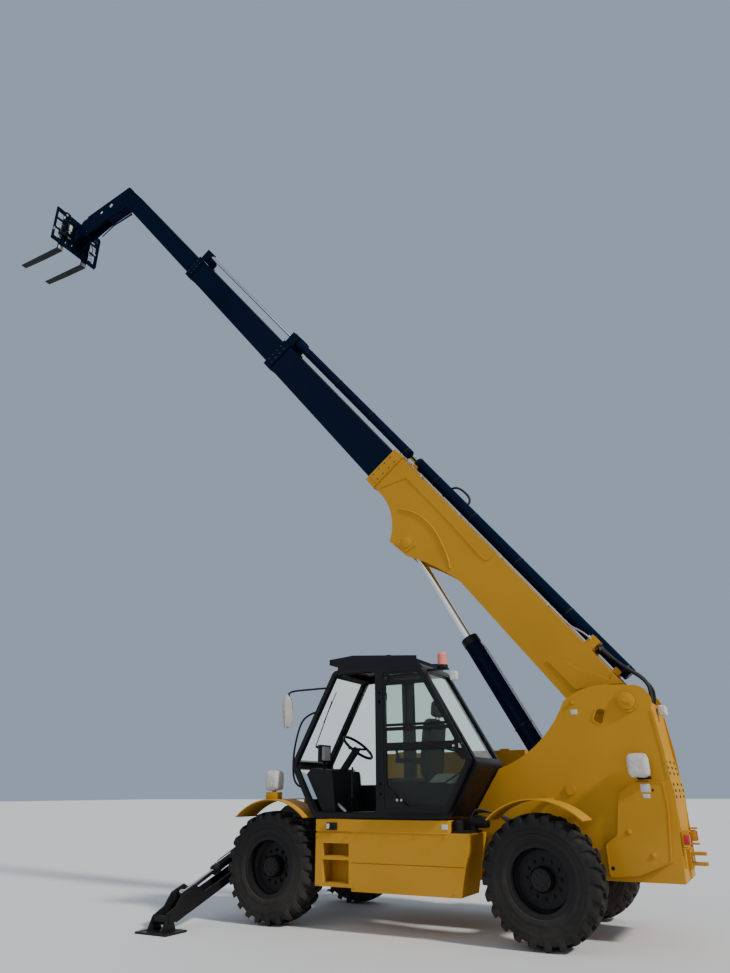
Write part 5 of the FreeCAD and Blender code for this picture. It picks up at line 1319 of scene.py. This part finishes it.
# Stabilisers, axles and underside

def leg_details(side, way):
    hinge = joint_place("leg_swing_" + side)
    reach = joint_place("foot_tilt_" + side) - hinge
    line = reach.normalized()
    up = Vector((0, -line.z, line.y)) * way

    def spot(s, n, x):
        return hinge + line * s + up * n + Vector((x, 0, 0))

    def bosses(shape):
        for out in (-1, 1):
            x = out * 0.08
            for s, n, rise, radius, sides in ((0, 0, 0.0035, 0.06, 32), (reach.length, 0, 0.004, 0.045, 32),
                                              (0.35, -0.025, 0.006, 0.012, 6), (0.65, -0.025, 0.006, 0.012, 6),
                                              (0.95, -0.025, 0.006, 0.012, 6)):
                rod(shape, spot(s, n, x), spot(s, n, x + out * rise), radius, sides=sides)

    def ribs(shape):
        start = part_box("foot_" + side)[0].x + 0.05
        for i in range(4):
            x = start + i * 0.095
            block(shape, Vector((x, way * 1.665, 0.019)), Vector((x + 0.012, way * 1.935, 0.024)), 0.001)
    placed("leg_bosses_" + side, bosses, "black paint", "leg_" + side, 35)
    pipes("leg_hoses_" + side, [[spot(s, n, x) for s, n in (
        (0.1, -0.04), (0.3, -0.04), (0.8, -0.042), (1.2, -0.04))] for x in (-0.02, 0.02)], 0.009, "hose rubber",
          "leg_" + side)
    placed("pad_ribs_" + side, ribs, "black paint", "foot_" + side, 35)


leg_details("left", 1)
leg_details("right", -1)

# The differentials' height and the steering cylinders' height
CASE_Z = 0.5375
STEER_Z = 0.56


@piece("black paint", "chassis", 35)
def axle_details(shape):
    for x, out in ((0.0, -1), (2.9, 1)):
        ahead = x + out * 0.125
        rod(shape, (ahead, -0.22, STEER_Z), (ahead, 0.22, STEER_Z), 0.038, sides=28, bevel=0.003)
        rod(shape, (ahead, -0.5, STEER_Z), (ahead, 0.5, STEER_Z), 0.019, sides=20)
        for s in BOTH:
            block(shape, (x + out * 0.06, s * 0.12, 0.52), (x + out * 0.135, s * 0.16, 0.6), 0.004)
            for i in range(8):
                turn = i * math.pi / 4
                bolt_x, bolt_z = x + 0.066 * math.cos(turn), CASE_Z + 0.066 * math.sin(turn)
                y = s * 0.232
                rod(shape, (bolt_x, y - s * 0.004, bolt_z), (bolt_x, y + s * 0.006, bolt_z), 0.008, sides=6)
        rod(shape, (x - out * 0.15, 0, CASE_Z), (x - out * 0.22, 0, CASE_Z), 0.055, sides=24, bevel=0.004)
    rod(shape, (0.21, 0, CASE_Z), (0.62, 0, STEER_Z), 0.034, sides=20)
    rod(shape, (2.69, 0, CASE_Z), (2.04, 0, STEER_Z), 0.034, sides=20)


@piece("dark plated bolt", "chassis", 30)
def frame_bolts(shape):
    for s in BOTH:
        for y, z in ((0.16, 0.56), (0.36, 0.58), (0.36, 0.68), (0.2, 0.86)):
            rod(shape, (3.818, s * y, z), (3.826, s * y, z), 0.012, sides=6)
        for x in (-0.45, 0.35, 0.6, 2.35, 3.1, 3.4):
            bolt(shape, x, 0.74, 0.33, place=lambda a, b, c, s=s: at(a, s * c, b))


# Engine pod

LID_Y = -1.03


@piece("black moulding", "engine_lid", 30)
def pod_lid_details(shape):
    for i in range(10):
        z = 1.3 + i * 0.03
        block(shape, (0.6, LID_Y - 0.002, z), (1.15, LID_Y + 0.003, z + 0.012), 0.001)
    blocks(shape, 0.004, *((x, LID_Y - 0.01, 1.262, x + 0.07, LID_Y + 0.001, 1.292) for x in (0.8, 1.85)))


# Camera, floor and light

CAMERA_AT = (-2.021, 7.906, 1.257)
CAMERA_YAW = 0.498
CAMERA_PITCH = 0.411
CAMERA_ROLL = -0.006
FOCAL_PIXELS = 701.0
IMAGE_HEIGHT = 973
SENSOR = 36.0
FLOOR_SIZE = 120


def make_camera():
    data = bpy.data.cameras.new("camera")
    data.sensor_fit = "VERTICAL"
    data.sensor_height = SENSOR
    data.lens = FOCAL_PIXELS / IMAGE_HEIGHT * SENSOR
    data.clip_end = 300
    camera = new_object("camera", data)
    forward = Vector((math.sin(CAMERA_YAW) * math.cos(CAMERA_PITCH), -math.cos(CAMERA_YAW) * math.cos(CAMERA_PITCH),
                      math.sin(CAMERA_PITCH)))
    turn = forward.to_track_quat("-Z", "Y").to_matrix().to_4x4()
    camera.matrix_world = Matrix.Translation(at(*CAMERA_AT)) @ turn @ Matrix.Rotation(CAMERA_ROLL, 4, "Z")
    bpy.context.scene.camera = camera


def make_floor():
    mesh = mesh_of("floor", lambda shape: bmesh.ops.create_grid(shape, x_segments=1, y_segments=1, size=FLOOR_SIZE))
    made, tree, shader = new_material("pale floor")
    fill(tree, shader, Base_Color=(0.72, 0.72, 0.71, 1), Roughness=0.9)
    mesh.materials.append(made)
    new_object("floor", mesh)


def make_light():
    world = bpy.data.worlds.new("studio")
    bpy.context.scene.world = world
    world.use_nodes = True
    fill(world.node_tree, world.node_tree.nodes["Background"], Color=(0.6, 0.74, 0.95, 1), Strength=0.5)
    # light: strength, angular size, direction it comes from
    for name, power, angle, source in (("key", 3.3, 6, (-0.8, 0.16, 0.58)), ("fill", 0.6, 60, (0.2, 0.9, 0.3)),
                                       ("far side", 0.4, 60, (0.3, -0.9, 0.5))):
        data = bpy.data.lights.new(name, "SUN")
        data.color = (1.0, 0.95, 0.87)
        data.energy = power
        data.angle = math.radians(angle)
        new_object(name, data).matrix_world = Vector(source).to_track_quat("Z", "Y").to_matrix().to_4x4()


make_camera()
make_floor()
make_light()
